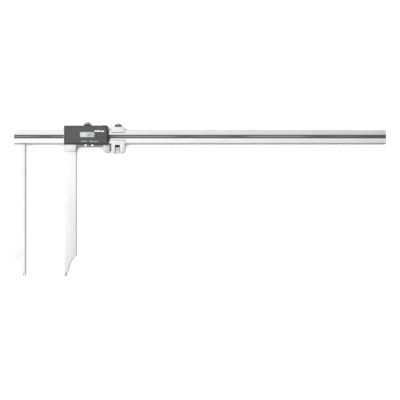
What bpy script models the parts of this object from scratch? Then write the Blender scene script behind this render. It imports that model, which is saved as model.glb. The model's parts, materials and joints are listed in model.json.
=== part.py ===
"""Long-jaw digital caliper with nib tips and a fine-feed carriage, 0 to 500 mm.

The caliper lies on its back: +X runs along the beam, +Y is away from the jaw tips, and the
display faces +Z. Sizes are in metres. Pieces are laid out from three datums: the fixed jaw's
measuring face and the beam's lower edge (caliper_datum), and the movable jaw's measuring face
(slider_datum). caliper_datum is placed so that the origin is under the middle of the object.
"""

import math

import bmesh
import bpy
from mathutils import Matrix, Vector

# Range and opening.
OPENING = 0.0738
CLEARANCE = 0.0003
THIN_CLEARANCE = 0.0001

# Beam: y = 0 is its lower edge, x = 0 the fixed jaw's measuring face.
BEAM_HEIGHT = 0.027
BEAM_THICKNESS = 0.008
BEAM_RIGHT = 0.6848
BACK_WALL = 0.0033
BEAM_BACK = BACK_WALL + CLEARANCE
BEAM_FRONT = BEAM_BACK + BEAM_THICKNESS
EDGE_CHAMFER = 0.0005
LOWER_CHAMFER = 0.0014
BEAM_STEP_LOW = 0.0076
BEAM_STEP_HIGH = 0.0232
BEAM_STEP_DEPTH = 0.00025
BEAM_END_CHAMFER = 0.0016
RELIEF_PLACE = (0.0014, 0.0002)
RELIEF_RADIUS = 0.0022
STRIP_CENTRE = 0.0145
STRIP_WIDTH = 0.0068
STRIP_THICKNESS = 0.0008
TAPE_THICKNESS = 0.0002
GROOVE_FLOOR = BEAM_FRONT - 0.0016
STOP_PLACE = (0.640, BEAM_HEIGHT / 2)
STOP_HEAD_HEIGHT = 0.0014
TAPPED_M3_RADIUS = 0.0015
M3_HEAD_RADIUS = 0.0028

# Jaws.
JAW_DEPTH = 0.250
FIXED_JAW_WIDTH = 0.0212
MOVABLE_JAW_WIDTH = 0.0226
NIB_WIDTH = 0.005
NIB_TIP_WIDTH = 0.0044
NIB_HEIGHT = 0.0091
NIB_SHOULDER = 0.0082
JAW_ARC_RADIUS = 0.034
NIB_LAND = 0.0006
NIB_ROUNDING = 0.0034
LAP_THICKNESS = 0.0039
JAW_DOWEL_RADIUS = 0.0022
JAW_FASTENER_LENGTH = 0.0055
JAW_RIVET_RADIUS = 0.0020
JAW_RIVET_PLACES = {"left": (0.006, -0.0073), "right": (0.0145, -0.0073)}

# Slider frame, measured from the movable jaw's measuring face.
FRONT_WALL = 0.0021
CHANNEL_FRONT = BEAM_FRONT + CLEARANCE
SLIDER_FRONT = CHANNEL_FRONT + FRONT_WALL
SLIDER_TOP = 0.0347
SLIDER_RIGHT = 0.0825
RAIL_UNDERSIDE = 0.0295
LOWER_RAIL_BOTTOM = -0.0049
JAW_SEAT_BOTTOM = -0.0133
JAW_ROOT_WIDTH = 0.020
LUG_LEFT = 0.0744
LUG_RIGHT = 0.0867
LUG_BOTTOM = -0.0163
FRAME_FILLET = 0.0066
LUG_CORNER = 0.0040
SCREW_AXIS_Z = 0.0073
SENSOR_WINDOW_LOW = (0.010, 0.0060)
SENSOR_WINDOW_HIGH = (0.072, 0.0215)
GIB_SCREW_PLACES = {"left": 0.014, "right": 0.072}
COVER_SCREW_PLACES = {"left": (0.024, 0.0321), "right": (0.077, 0.0321)}
BASE_SCREW_PLACES = [(0.0055, 0.0036), (0.077, 0.0036), (0.0055, 0.026), (0.077, 0.026)]

# Reader, the electronics housing on the slider's front.
READER_LEFT = 0.0012
READER_RIGHT = 0.0852
READER_TOP_RIGHT = 0.0829
READER_BOTTOM = -0.0012
READER_TOP = 0.0347
READER_BACK = SLIDER_FRONT + CLEARANCE
READER_SHOULDER = 0.0180
READER_FRONT = 0.0218
READER_BEVEL = 0.0035
READER_CEILING = 0.0205
READER_BEND = 0.0190
COVER_WALL = 0.0014
COVER_BOSS_RADIUS = 0.0023
BASE_PLATE_THICKNESS = 0.0010
BOARD_THICKNESS = 0.0008
WINDOW_LOW = (0.0317, 0.0129)
WINDOW_HIGH = (0.0583, 0.0221)
BUTTON_PLACES = {"left": 0.0418, "right": 0.0545}
BUTTON_Z = (0.0149, 0.0174)
BUTTON_HALF_WIDTH = 0.0019
BUTTON_REACH = 0.0026
SWITCH_FACE = 0.0036
LABEL_BAND = (0.0029, 0.0061)
LABEL_DEPTH = 0.00025
LID_LOW = (0.0633, 0.0074)
LID_HIGH = (0.0822, 0.0199)
LID_SEAT = 0.0009
BATTERY_CENTRE = (0.0715, 0.0136)
BATTERY_RADIUS = 0.0058
BATTERY_ACCESS_RADIUS = 0.0062
PORT_LEFT = 0.0562
PORT_RIGHT = 0.0715

# Lock screw and clamp screw: M5, with knobs on the upper edge.
LOCK_X = 0.044
CLAMP_X = 0.1025
SCREW_RADIUS = 0.0025
SCREW_HOLE_RADIUS = 0.0028
SHOE_RADIUS = 0.0022
SHOE_REST_GAP = 0.00075
LOCK_KNOB_TOP = 0.0421
KNOB_GAP = 0.0007

# Fine-feed carriage, screw and nut, in the slider's datum.
CARRIAGE_LEFT = 0.0902
CARRIAGE_RIGHT = 0.1156
CARRIAGE_TOP = 0.0326
CARRIAGE_BOTTOM = -0.0165
CARRIAGE_FRONT = 0.0143
CARRIAGE_LIP_TOP = 0.0216
CARRIAGE_LIP_BOTTOM = 0.0082
NUT_SLOT_LEFT = 0.0973
NUT_SLOT_RIGHT = 0.1063
NUT_SLOT_TOP = -0.0042
NUT_POCKET_TOP = -0.0016
NUT_POCKET_FLOOR = 0.0060
FEED_Y = -0.0110
FEED_Z = 0.0070
FEED_RADIUS = 0.0020
FEED_SCREW_ENDS = (0.0783, 0.1130)
FEED_LOCK_X = 0.082
NUT_RADIUS = 0.0065
NUT_CHAMFER = 0.0007

# Cutters run this far past the face that they open.
PAST = 0.001
ROUND_SEGMENTS = 32
SMALL_SEGMENTS = 16

# Finish name: colour, roughness, metallic.
FINISHES = {
    "ground_steel": ((0.86, 0.86, 0.84), 0.28, 1.0),
    "satin_steel": ((0.80, 0.80, 0.79), 0.34, 1.0),
    "screw_steel": ((0.62, 0.62, 0.62), 0.30, 1.0),
    "dark_tape": ((0.10, 0.10, 0.10), 0.45, 0.0),
    "laminate": ((0.20, 0.33, 0.16), 0.50, 0.0),
    "grey_housing": ((0.105, 0.115, 0.120), 0.48, 0.0),
    "dark_plastic": ((0.05, 0.05, 0.05), 0.50, 0.0),
    "white_plastic": ((0.85, 0.86, 0.86), 0.35, 0.0),
    "clear_window": ((0.72, 0.80, 0.80), 0.05, 0.0),
    "display_glass": ((0.55, 0.62, 0.58), 0.15, 0.0),
    "elastomer": ((0.35, 0.35, 0.34), 0.70, 0.0),
    "brass": ((0.75, 0.58, 0.28), 0.32, 1.0),
    "cell_steel": ((0.75, 0.75, 0.74), 0.22, 1.0),
    "rubber": ((0.03, 0.03, 0.03), 0.75, 0.0),
}


def clear_scene():
    for obj in list(bpy.data.objects):
        bpy.data.objects.remove(obj, do_unlink=True)


def make_finish(name, finish):
    """A material of this object's own, from the named finish."""
    colour, roughness, metallic = FINISHES[finish]
    material = bpy.data.materials.new(name)
    material.use_nodes = True
    shader = material.node_tree.nodes["Principled BSDF"]
    shader.inputs["Base Color"].default_value = (*colour, 1.0)
    shader.inputs["Roughness"].default_value = roughness
    shader.inputs["Metallic"].default_value = metallic
    return material


def make_datum(name, location, parent=None):
    datum = bpy.data.objects.new(name, None)
    datum.empty_display_size = 0.02
    datum.location = location
    datum.parent = parent
    bpy.context.scene.collection.objects.link(datum)
    return datum


def add_piece(name, shape, finish, parent, location=(0, 0, 0), smooth=False):
    """Turns a bmesh into a named object with its own material."""
    mesh = bpy.data.meshes.new(name)
    bmesh.ops.recalc_face_normals(shape, faces=shape.faces)
    shape.to_mesh(mesh)
    shape.free()
    mesh.materials.append(make_finish(name, finish))
    piece = bpy.data.objects.new(name, mesh)
    piece.location = location
    piece.parent = parent
    bpy.context.scene.collection.objects.link(piece)
    if smooth:
        mesh.shade_smooth()
        mesh.set_sharp_from_angle(angle=math.radians(35))
    return piece


def change(piece, shape, operation, location=(0, 0, 0)):
    """Cuts a shape out of a piece, or joins it on, with a hidden helper beside the piece."""
    number = len(piece.modifiers) + 1
    name = f"{piece.name}_{operation.lower()}_{number}"
    mesh = bpy.data.meshes.new(name)
    bmesh.ops.recalc_face_normals(shape, faces=shape.faces)
    shape.to_mesh(mesh)
    shape.free()
    helper = bpy.data.objects.new(name, mesh)
    helper.location = location
    helper.parent = piece.parent
    helper.hide_render = True
    helper.display_type = "WIRE"
    bpy.context.scene.collection.objects.link(helper)
    modifier = piece.modifiers.new(name, "BOOLEAN")
    modifier.operation = operation
    modifier.object = helper
    modifier.solver = "EXACT"


def cut(piece, shape, location=(0, 0, 0)):
    change(piece, shape, "DIFFERENCE", location)


def join(piece, shape, location=(0, 0, 0)):
    change(piece, shape, "UNION", location)


def box_shape(low, high):
    shape = bmesh.new()
    low = Vector(low)
    high = Vector(high)
    bmesh.ops.create_cube(shape, size=1.0)
    bmesh.ops.scale(shape, vec=high - low, verts=shape.verts)
    bmesh.ops.translate(shape, vec=(low + high) / 2, verts=shape.verts)
    return shape


def prism_shape(outline, start, end, axis="Z"):
    """Extrudes a closed outline: (x, y) points along Z, or (y, z) points along X."""
    shape = bmesh.new()
    if axis == "Z":
        corners = [shape.verts.new((a, b, start)) for a, b in outline]
        step = Vector((0, 0, end - start))
    else:
        corners = [shape.verts.new((start, a, b)) for a, b in outline]
        step = Vector((end - start, 0, 0))
    face = shape.faces.new(corners)
    extruded = bmesh.ops.extrude_face_region(shape, geom=[face])["geom"]
    moved = [item for item in extruded if isinstance(item, bmesh.types.BMVert)]
    bmesh.ops.translate(shape, vec=step, verts=moved)
    return shape


def turned_shape(profile, axis="Z", segments=SMALL_SEGMENTS):
    """Turns a profile of (radius, distance along the axis) points into a round solid."""
    shape = bmesh.new()
    points = [shape.verts.new((radius, 0, along)) for radius, along in profile]
    edges = [shape.edges.new(pair) for pair in zip(points, points[1:])]
    bmesh.ops.spin(
        shape,
        geom=points + edges,
        cent=(0, 0, 0),
        axis=(0, 0, 1),
        angle=math.tau,
        steps=segments,
        use_merge=True,
    )
    bmesh.ops.remove_doubles(shape, verts=shape.verts, dist=1e-7)
    turns = {
        "X": Matrix.Rotation(math.radians(90), 3, "Y"),
        "Y": Matrix.Rotation(math.radians(-90), 3, "X"),
        "Z": Matrix.Identity(3),
    }
    bmesh.ops.rotate(shape, cent=(0, 0, 0), matrix=turns[axis], verts=shape.verts)
    return shape


def rod_shape(radius, start, end, axis="Z", chamfer=0.0, segments=SMALL_SEGMENTS):
    """A round bar along an axis through the origin, with chamfered ends if asked."""
    if chamfer:
        profile = [
            (0, start),
            (radius - chamfer, start),
            (radius, start + chamfer),
            (radius, end - chamfer),
            (radius - chamfer, end),
            (0, end),
        ]
    else:
        profile = [(0, start), (radius, start), (radius, end), (0, end)]
    return turned_shape(profile, axis, segments)


def arc_points(centre, radius, start, end, count):
    """Points along an arc, with angles in degrees, both ends included."""
    points = []
    for step in range(count):
        angle = math.radians(start + (end - start) * step / (count - 1))
        across = centre[0] + radius * math.cos(angle)
        up = centre[1] + radius * math.sin(angle)
        points.append((across, up))
    return points


def screw_shape(head_radius, head_height, radius, length):
    """A screw along +Z from its head's outer face at z = 0, with a driver recess."""
    recess = 0.5 * head_radius
    depth = 0.6 * head_height
    tip = 0.25 * radius
    profile = [
        (0, depth),
        (recess, depth),
        (recess, 0),
        (head_radius - tip, 0),
        (head_radius, tip),
        (head_radius, head_height),
        (radius, head_height),
        (radius, length - tip),
        (radius - tip, length),
        (0, length),
    ]
    return turned_shape(profile)


def jaw_outline(width, root_width, root_top, seat):
    """Front outline of a jaw whose measuring face is x = 0 and whose body lies at +X.

    Its back edge curves in towards the nib on an arc that ends upright above the shoulder.
    """
    shoulder = -JAW_DEPTH + NIB_HEIGHT
    arc_centre = (NIB_SHOULDER + JAW_ARC_RADIUS, shoulder + NIB_LAND)
    angle = math.degrees(math.acos((arc_centre[0] - width) / JAW_ARC_RADIUS))
    back_edge = arc_points(arc_centre, JAW_ARC_RADIUS, 180 - angle, 180, 18)
    outline = [(0, root_top), (root_width, root_top)]
    if root_width < width:
        outline += [(root_width, seat), (width, seat)]
    outline += back_edge
    outline += [
        (NIB_SHOULDER, shoulder),
        (NIB_WIDTH, shoulder),
        (NIB_TIP_WIDTH, -JAW_DEPTH),
        (0, -JAW_DEPTH),
    ]
    return outline


def jaw_shape(width, root_width, root_top, seat):
    """A jaw plate with the nib's outer side rounded, for inside measurements."""
    outline = jaw_outline(width, root_width, root_top, seat)
    shape = prism_shape(outline, BEAM_BACK, BEAM_FRONT)
    shoulder = -JAW_DEPTH + NIB_HEIGHT
    nib_edges = [
        edge
        for edge in shape.edges
        if abs(edge.verts[0].co.z - edge.verts[1].co.z) < 1e-6
        and all(vert.co.y < shoulder + 1e-5 for vert in edge.verts)
        and all(NIB_TIP_WIDTH - 1e-5 < vert.co.x < NIB_WIDTH + 1e-5 for vert in edge.verts)
    ]
    bmesh.ops.bevel(
        shape, geom=nib_edges, offset=NIB_ROUNDING, segments=5, profile=0.5, affect="EDGES"
    )
    return shape


def build_beam(datum):
    left = -FIXED_JAW_WIDTH
    groove_half = STRIP_WIDTH / 2 + THIN_CLEARANCE
    groove_low = STRIP_CENTRE - groove_half
    groove_high = STRIP_CENTRE + groove_half
    inner_front = BEAM_FRONT - BEAM_STEP_DEPTH
    section = [
        (EDGE_CHAMFER, BEAM_BACK),
        (BEAM_HEIGHT - EDGE_CHAMFER, BEAM_BACK),
        (BEAM_HEIGHT, BEAM_BACK + EDGE_CHAMFER),
        (BEAM_HEIGHT, BEAM_FRONT - EDGE_CHAMFER),
        (BEAM_HEIGHT - EDGE_CHAMFER, BEAM_FRONT),
        (BEAM_STEP_HIGH, BEAM_FRONT),
        (BEAM_STEP_HIGH, inner_front),
        (groove_high, inner_front),
        (groove_high, GROOVE_FLOOR),
        (groove_low, GROOVE_FLOOR),
        (groove_low, inner_front),
        (BEAM_STEP_LOW, inner_front),
        (BEAM_STEP_LOW, BEAM_FRONT),
        (LOWER_CHAMFER, BEAM_FRONT),
        (0, BEAM_FRONT - LOWER_CHAMFER),
        (0, BEAM_BACK + EDGE_CHAMFER),
    ]
    beam = add_piece(
        "beam", prism_shape(section, left, BEAM_RIGHT, "X"), "ground_steel", datum
    )
    lap_front = BEAM_BACK + LAP_THICKNESS + THIN_CLEARANCE
    lap = box_shape((left - PAST, -PAST, BEAM_BACK - PAST),
                    (THIN_CLEARANCE, BEAM_HEIGHT + PAST, lap_front))
    cut(beam, lap)
    cut(beam, relief_shape())
    chamfer = [
        (BEAM_RIGHT - BEAM_END_CHAMFER, -THIN_CLEARANCE),
        (BEAM_RIGHT + PAST, -THIN_CLEARANCE),
        (BEAM_RIGHT + PAST, BEAM_END_CHAMFER),
        (BEAM_RIGHT, BEAM_END_CHAMFER),
    ]
    cut(beam, prism_shape(chamfer, 0, BEAM_FRONT + PAST))
    for _, place, radius in jaw_fasteners():
        hole = rod_shape(radius + CLEARANCE, lap_front - PAST, GROOVE_FLOOR - CLEARANCE)
        cut(beam, hole, (*place, 0))
    stop_hole = rod_shape(TAPPED_M3_RADIUS + CLEARANCE, BEAM_BACK - PAST, 0.0093)
    cut(beam, stop_hole, (*STOP_PLACE, 0))
    return beam


def relief_shape():
    """The round relief in the inner corner between beam and fixed jaw."""
    relief = rod_shape(RELIEF_RADIUS, 0, BEAM_FRONT + PAST, segments=ROUND_SEGMENTS)
    bmesh.ops.translate(relief, vec=(*RELIEF_PLACE, 0), verts=relief.verts)
    return relief


def jaw_fasteners():
    """Name, place and radius of what holds the fixed jaw's root behind the beam."""
    return [
        ("jaw_dowel_lower", (-0.006, 0.0050), JAW_DOWEL_RADIUS),
        ("jaw_dowel_upper", (-0.016, 0.0220), JAW_DOWEL_RADIUS),
        ("jaw_screw_lower", (-0.016, 0.0050), TAPPED_M3_RADIUS),
        ("jaw_screw_upper", (-0.006, 0.0220), TAPPED_M3_RADIUS),
    ]


def build_fixed_jaw(datum):
    root_top = BEAM_HEIGHT - EDGE_CHAMFER
    shape = jaw_shape(FIXED_JAW_WIDTH, FIXED_JAW_WIDTH, root_top, 0)
    bmesh.ops.scale(shape, vec=(-1, 1, 1), verts=shape.verts)
    jaw = add_piece("fixed_jaw", shape, "ground_steel", datum)
    over_lap = box_shape(
        (-FIXED_JAW_WIDTH - PAST, -THIN_CLEARANCE, BEAM_BACK + LAP_THICKNESS),
        (PAST, BEAM_HEIGHT + PAST, BEAM_FRONT + PAST),
    )
    cut(jaw, over_lap)
    cut(jaw, relief_shape())
    head_height = 0.0015
    for name, place, radius in jaw_fasteners():
        top = BEAM_BACK + LAP_THICKNESS + PAST
        if "screw" in name:
            sink = M3_HEAD_RADIUS + CLEARANCE
            floor = BEAM_BACK + head_height + 2 * CLEARANCE
            stepped = [(0, BEAM_BACK - PAST), (sink, BEAM_BACK - PAST), (sink, floor)]
            stepped += [(radius + CLEARANCE, floor), (radius + CLEARANCE, top), (0, top)]
            cut(jaw, turned_shape(stepped), (*place, 0))
            screw = screw_shape(M3_HEAD_RADIUS, head_height, radius, JAW_FASTENER_LENGTH)
            add_piece(name, screw, "screw_steel", datum, (*place, BEAM_BACK + CLEARANCE), True)
        else:
            cut(jaw, rod_shape(radius + CLEARANCE, BEAM_BACK - PAST, top), (*place, 0))
            dowel = rod_shape(radius, 0, JAW_FASTENER_LENGTH, chamfer=0.0003)
            add_piece(name, dowel, "screw_steel", datum, (*place, BEAM_BACK + CLEARANCE), True)
    return jaw


def build_scale(datum):
    """The laminated scale strip and the dark tape over it, in the beam's groove."""
    left = -FIXED_JAW_WIDTH + THIN_CLEARANCE
    right = BEAM_RIGHT - THIN_CLEARANCE
    low = STRIP_CENTRE - STRIP_WIDTH / 2
    high = STRIP_CENTRE + STRIP_WIDTH / 2
    strip_back = GROOVE_FLOOR + THIN_CLEARANCE
    strip_front = strip_back + STRIP_THICKNESS
    strip = box_shape((left, low, strip_back), (right, high, strip_front))
    add_piece("scale_strip", strip, "laminate", datum)
    tape_back = strip_front + THIN_CLEARANCE
    tape = box_shape((left, low, tape_back), (right, high, tape_back + TAPE_THICKNESS))
    add_piece("scale_tape", tape, "dark_tape", datum)


def build_end_stop(datum):
    """Screw whose head stops the carriage before it leaves the beam."""
    screw = screw_shape(M3_HEAD_RADIUS, STOP_HEAD_HEIGHT, TAPPED_M3_RADIUS, 0.0071)
    location = (*STOP_PLACE, BEAM_BACK - STOP_HEAD_HEIGHT - CLEARANCE)
    add_piece("end_stop_screw", screw, "screw_steel", datum, location, True)


def slider_outline():
    """Front outline of the slider frame: body, jaw seat, lower rail and feed lug."""
    fillet = FRAME_FILLET
    corner = LUG_CORNER
    fillet_centre = (MOVABLE_JAW_WIDTH + fillet, LOWER_RAIL_BOTTOM - fillet)
    outline = [
        (0, SLIDER_TOP),
        (0, JAW_SEAT_BOTTOM),
        (MOVABLE_JAW_WIDTH, JAW_SEAT_BOTTOM),
    ]
    outline += arc_points(fillet_centre, fillet, 180, 90, 14)
    outline.append((LUG_LEFT, LOWER_RAIL_BOTTOM))
    outline += arc_points((LUG_LEFT + corner, LUG_BOTTOM + corner), corner, 180, 270, 10)
    outline += arc_points((LUG_RIGHT - corner, LUG_BOTTOM + corner), corner, 270, 360, 10)
    outline += [
        (LUG_RIGHT, -CLEARANCE),
        (SLIDER_RIGHT, -CLEARANCE),
        (SLIDER_RIGHT, SLIDER_TOP),
    ]
    return outline


def build_slider_frame(datum):
    shape = prism_shape(slider_outline(), 0, SLIDER_FRONT)
    frame = add_piece("slider_frame", shape, "satin_steel", datum)
    channel = box_shape((-PAST, -CLEARANCE, BACK_WALL),
                        (LUG_RIGHT + PAST, RAIL_UNDERSIDE, CHANNEL_FRONT))
    cut(frame, channel)
    sensor_window = box_shape((*SENSOR_WINDOW_LOW, CHANNEL_FRONT - PAST),
                              (*SENSOR_WINDOW_HIGH, SLIDER_FRONT + PAST))
    cut(frame, sensor_window)
    jaw_seat = box_shape((-PAST, JAW_SEAT_BOTTOM - PAST, BACK_WALL),
                         (JAW_ROOT_WIDTH + CLEARANCE, -0.0012, CHANNEL_FRONT))
    cut(frame, jaw_seat)
    lock_hole = rod_shape(SCREW_HOLE_RADIUS, RAIL_UNDERSIDE - PAST, SLIDER_TOP + PAST, "Y")
    cut(frame, lock_hole, (LOCK_X, 0, SCREW_AXIS_Z))
    for across in GIB_SCREW_PLACES.values():
        hole = rod_shape(TAPPED_M3_RADIUS + CLEARANCE, RAIL_UNDERSIDE - PAST, SLIDER_TOP + PAST, "Y")
        cut(frame, hole, (across, 0, SCREW_AXIS_Z))
    for place in COVER_SCREW_PLACES.values():
        stepped = [(0, -PAST), (0.0022, -PAST), (0.0022, 0.0024), (0.0013, 0.0024)]
        stepped += [(0.0013, SLIDER_FRONT + PAST), (0, SLIDER_FRONT + PAST)]
        cut(frame, turned_shape(stepped), (*place, 0))
    for place in BASE_SCREW_PLACES:
        hole = rod_shape(0.0012, CHANNEL_FRONT - PAST, SLIDER_FRONT + PAST)
        cut(frame, hole, (*place, 0))
    for place in JAW_RIVET_PLACES.values():
        rivet_hole = rod_shape(JAW_RIVET_RADIUS + CLEARANCE, -PAST, BACK_WALL + PAST)
        cut(frame, rivet_hole, (*place, 0))
    feed_bore = rod_shape(FEED_RADIUS + CLEARANCE, FEED_SCREW_ENDS[0] - CLEARANCE,
                          LUG_RIGHT + PAST, "X")
    cut(frame, feed_bore, (0, FEED_Y, FEED_Z))
    lock_bore = rod_shape(0.0015, LUG_BOTTOM - PAST, FEED_Y, "Y")
    cut(frame, lock_bore, (FEED_LOCK_X, 0, FEED_Z))
    return frame


def build_movable_jaw(datum):
    seat = JAW_SEAT_BOTTOM - CLEARANCE
    shape = jaw_shape(MOVABLE_JAW_WIDTH, JAW_ROOT_WIDTH, -0.0015, seat)
    jaw = add_piece("movable_jaw", shape, "ground_steel", datum)
    rivet_front = 0.0097
    for side, place in JAW_RIVET_PLACES.items():
        hole = rod_shape(JAW_RIVET_RADIUS + CLEARANCE, BEAM_BACK - PAST, rivet_front + CLEARANCE)
        cut(jaw, hole, (*place, 0))
        rivet = rod_shape(JAW_RIVET_RADIUS, CLEARANCE, rivet_front, chamfer=0.0003)
        add_piece(f"jaw_rivet_{side}", rivet, "screw_steel", datum, (*place, 0), True)
    return jaw


def build_gib(datum):
    """The brass wear strip above the beam, and the two set screws that take up its play."""
    low = BEAM_HEIGHT + CLEARANCE
    high = RAIL_UNDERSIDE - CLEARANCE
    gib = add_piece(
        "gib", box_shape((0.003, low, 0.0042), (0.080, high, 0.0110)), "brass", datum
    )
    shoe_hole = rod_shape(SHOE_RADIUS + 0.0004, low - PAST, high + PAST, "Y")
    cut(gib, shoe_hole, (LOCK_X, 0, SCREW_AXIS_Z))
    top = SLIDER_TOP - 0.0004
    for side, across in GIB_SCREW_PLACES.items():
        profile = [
            (0, RAIL_UNDERSIDE),
            (0.0008, RAIL_UNDERSIDE),
            (TAPPED_M3_RADIUS, RAIL_UNDERSIDE + 0.0007),
            (TAPPED_M3_RADIUS, top),
            (0.0008, top),
            (0.0008, top - 0.0015),
            (0, top - 0.0015),
        ]
        location = (across, 0, SCREW_AXIS_Z)
        add_piece(f"gib_screw_{side}", turned_shape(profile, "Y"), "screw_steel", datum,
                  location, True)


def build_shoe_and_screw(datum, place, wall_top, knob, names):
    """A brass shoe over the beam and the thumb screw that presses it.

    knob is the knob's outline as (radius, height) points, from its underside to its top.
    """
    shoe_name, screw_name = names
    shoe_low = BEAM_HEIGHT + SHOE_REST_GAP
    shoe_high = shoe_low + 0.0026
    shoe = rod_shape(SHOE_RADIUS, shoe_low, shoe_high, "Y", chamfer=0.0003)
    add_piece(shoe_name, shoe, "brass", datum, place, True)
    underside = wall_top + KNOB_GAP
    shank_low = shoe_high + CLEARANCE
    profile = [(0, shank_low), (SCREW_RADIUS, shank_low), (SCREW_RADIUS, underside)]
    profile += [(radius, underside + height) for radius, height in knob]
    screw = turned_shape(profile, "Y", ROUND_SEGMENTS)
    add_piece(screw_name, screw, "screw_steel", datum, place, True)


def build_lock(datum):
    underside = SLIDER_TOP + KNOB_GAP
    height = LOCK_KNOB_TOP - underside
    knob = [(0.0062, 0), (0.0068, 0.0006), (0.0068, 0.0024), (0.0054, 0.0052)]
    knob += [(0.0052, height - 0.0006), (0.0045, height), (0, height)]
    place = (LOCK_X, 0, SCREW_AXIS_Z)
    build_shoe_and_screw(datum, place, SLIDER_TOP, knob, ("lock_shoe", "lock_screw"))


def build_clamp(datum):
    height = 0.0065
    band = 0.0031
    dome_radius = 0.0064
    knob = [(0.0060, 0), (0.0066, 0.0006), (0.0066, band)]
    for step in range(6):
        angle = math.radians(90 * step / 5)
        knob.append((dome_radius * math.cos(angle), band + (height - band) * math.sin(angle)))
    place = (CLAMP_X, 0, FEED_Z)
    build_shoe_and_screw(datum, place, CARRIAGE_TOP, knob[:-1] + [(0, height)],
                         ("clamp_shoe", "clamp_screw"))


def carriage_outline():
    corners = [
        ((CARRIAGE_RIGHT, CARRIAGE_TOP), 0.0026, 0),
        ((CARRIAGE_LEFT, CARRIAGE_TOP), 0.0012, 90),
        ((CARRIAGE_LEFT, CARRIAGE_BOTTOM), 0.0030, 180),
        ((CARRIAGE_RIGHT, CARRIAGE_BOTTOM), 0.0063, 270),
    ]
    outline = []
    for (across, up), radius, start in corners:
        inward_x = -radius if across == CARRIAGE_RIGHT else radius
        inward_y = -radius if up == CARRIAGE_TOP else radius
        centre = (across + inward_x, up + inward_y)
        outline += arc_points(centre, radius, start, start + 90, 10)
    return outline


def build_carriage(datum):
    shape = prism_shape(carriage_outline(), 0, CARRIAGE_FRONT)
    carriage = add_piece("carriage_frame", shape, "satin_steel", datum)
    channel = box_shape((CARRIAGE_LEFT - PAST, -CLEARANCE, BACK_WALL),
                        (CARRIAGE_RIGHT + PAST, BEAM_HEIGHT + CLEARANCE, CHANNEL_FRONT))
    cut(carriage, channel)
    opening = box_shape((CARRIAGE_LEFT - PAST, CARRIAGE_LIP_BOTTOM, CHANNEL_FRONT - PAST),
                        (CARRIAGE_RIGHT + PAST, CARRIAGE_LIP_TOP, CARRIAGE_FRONT + PAST))
    cut(carriage, opening)
    nut_slot = box_shape((NUT_SLOT_LEFT, CARRIAGE_BOTTOM - PAST, -PAST),
                         (NUT_SLOT_RIGHT, NUT_SLOT_TOP, CARRIAGE_FRONT + PAST))
    cut(carriage, nut_slot)
    nut_pocket = box_shape((NUT_SLOT_LEFT, NUT_SLOT_TOP - PAST, NUT_POCKET_FLOOR),
                           (NUT_SLOT_RIGHT, NUT_POCKET_TOP, CARRIAGE_FRONT + PAST))
    cut(carriage, nut_pocket)
    bore = rod_shape(FEED_RADIUS + CLEARANCE, CARRIAGE_LEFT - PAST, CARRIAGE_RIGHT + PAST, "X")
    cut(carriage, bore, (0, FEED_Y, FEED_Z))
    clamp_hole = rod_shape(SCREW_HOLE_RADIUS, BEAM_HEIGHT, CARRIAGE_TOP + PAST, "Y")
    cut(carriage, clamp_hole, (CLAMP_X, 0, FEED_Z))
    return carriage


def build_feed(datum):
    """The fixed feed screw with its set screw in the lug, and the nut that runs on it."""
    screw = rod_shape(FEED_RADIUS, *FEED_SCREW_ENDS, "X", chamfer=0.0004)
    add_piece("feed_screw", screw, "screw_steel", datum, (0, FEED_Y, FEED_Z), True)
    set_low = LUG_BOTTOM + 0.0002
    set_high = FEED_Y - FEED_RADIUS - CLEARANCE
    recess = [(0, set_low + 0.0012), (0.0006, set_low + 0.0012), (0.0006, set_low)]
    body = [(0.0012, set_low), (0.0012, set_high), (0, set_high)]
    set_screw = turned_shape(recess + body, "Y")
    add_piece("feed_lock_screw", set_screw, "screw_steel", datum, (FEED_LOCK_X, 0, FEED_Z), True)
    bore = FEED_RADIUS + CLEARANCE
    left = NUT_SLOT_LEFT + CLEARANCE
    right = NUT_SLOT_RIGHT - CLEARANCE
    ring = [
        (bore, left),
        (NUT_RADIUS - NUT_CHAMFER, left),
        (NUT_RADIUS, left + NUT_CHAMFER),
        (NUT_RADIUS, right - NUT_CHAMFER),
        (NUT_RADIUS - NUT_CHAMFER, right),
        (bore, right),
        (bore, left),
    ]
    nut = turned_shape(ring, "X", ROUND_SEGMENTS)
    add_piece("feed_nut", nut, "screw_steel", datum, (0, FEED_Y, FEED_Z), True)


def reader_outline(margin, top):
    """The reader's outline, drawn in by margin, with its right end curved at the top."""
    left = READER_LEFT + margin
    bottom = READER_BOTTOM + margin
    right = READER_RIGHT - margin
    top_right = READER_TOP_RIGHT - margin
    outline = [(left, top), (left, bottom), (right, bottom), (right, READER_BEND)]
    for step in range(1, 5):
        share = step / 4
        across = right - (right - top_right) * share**2
        outline.append((across, READER_BEND + (top - READER_BEND) * share))
    return outline


def reader_shape(outline, back, shoulder, front):
    """A shell with upright walls up to its shoulder and a bevel from there to its front."""
    shape = prism_shape(outline, back, shoulder)
    top = [face for face in shape.faces
           if all(abs(vert.co.z - shoulder) < 1e-6 for vert in face.verts)]
    bmesh.ops.inset_region(shape, faces=top, thickness=READER_BEVEL, use_even_offset=True)
    bmesh.ops.translate(shape, vec=(0, 0, front - shoulder), verts=top[0].verts)
    return shape


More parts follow.
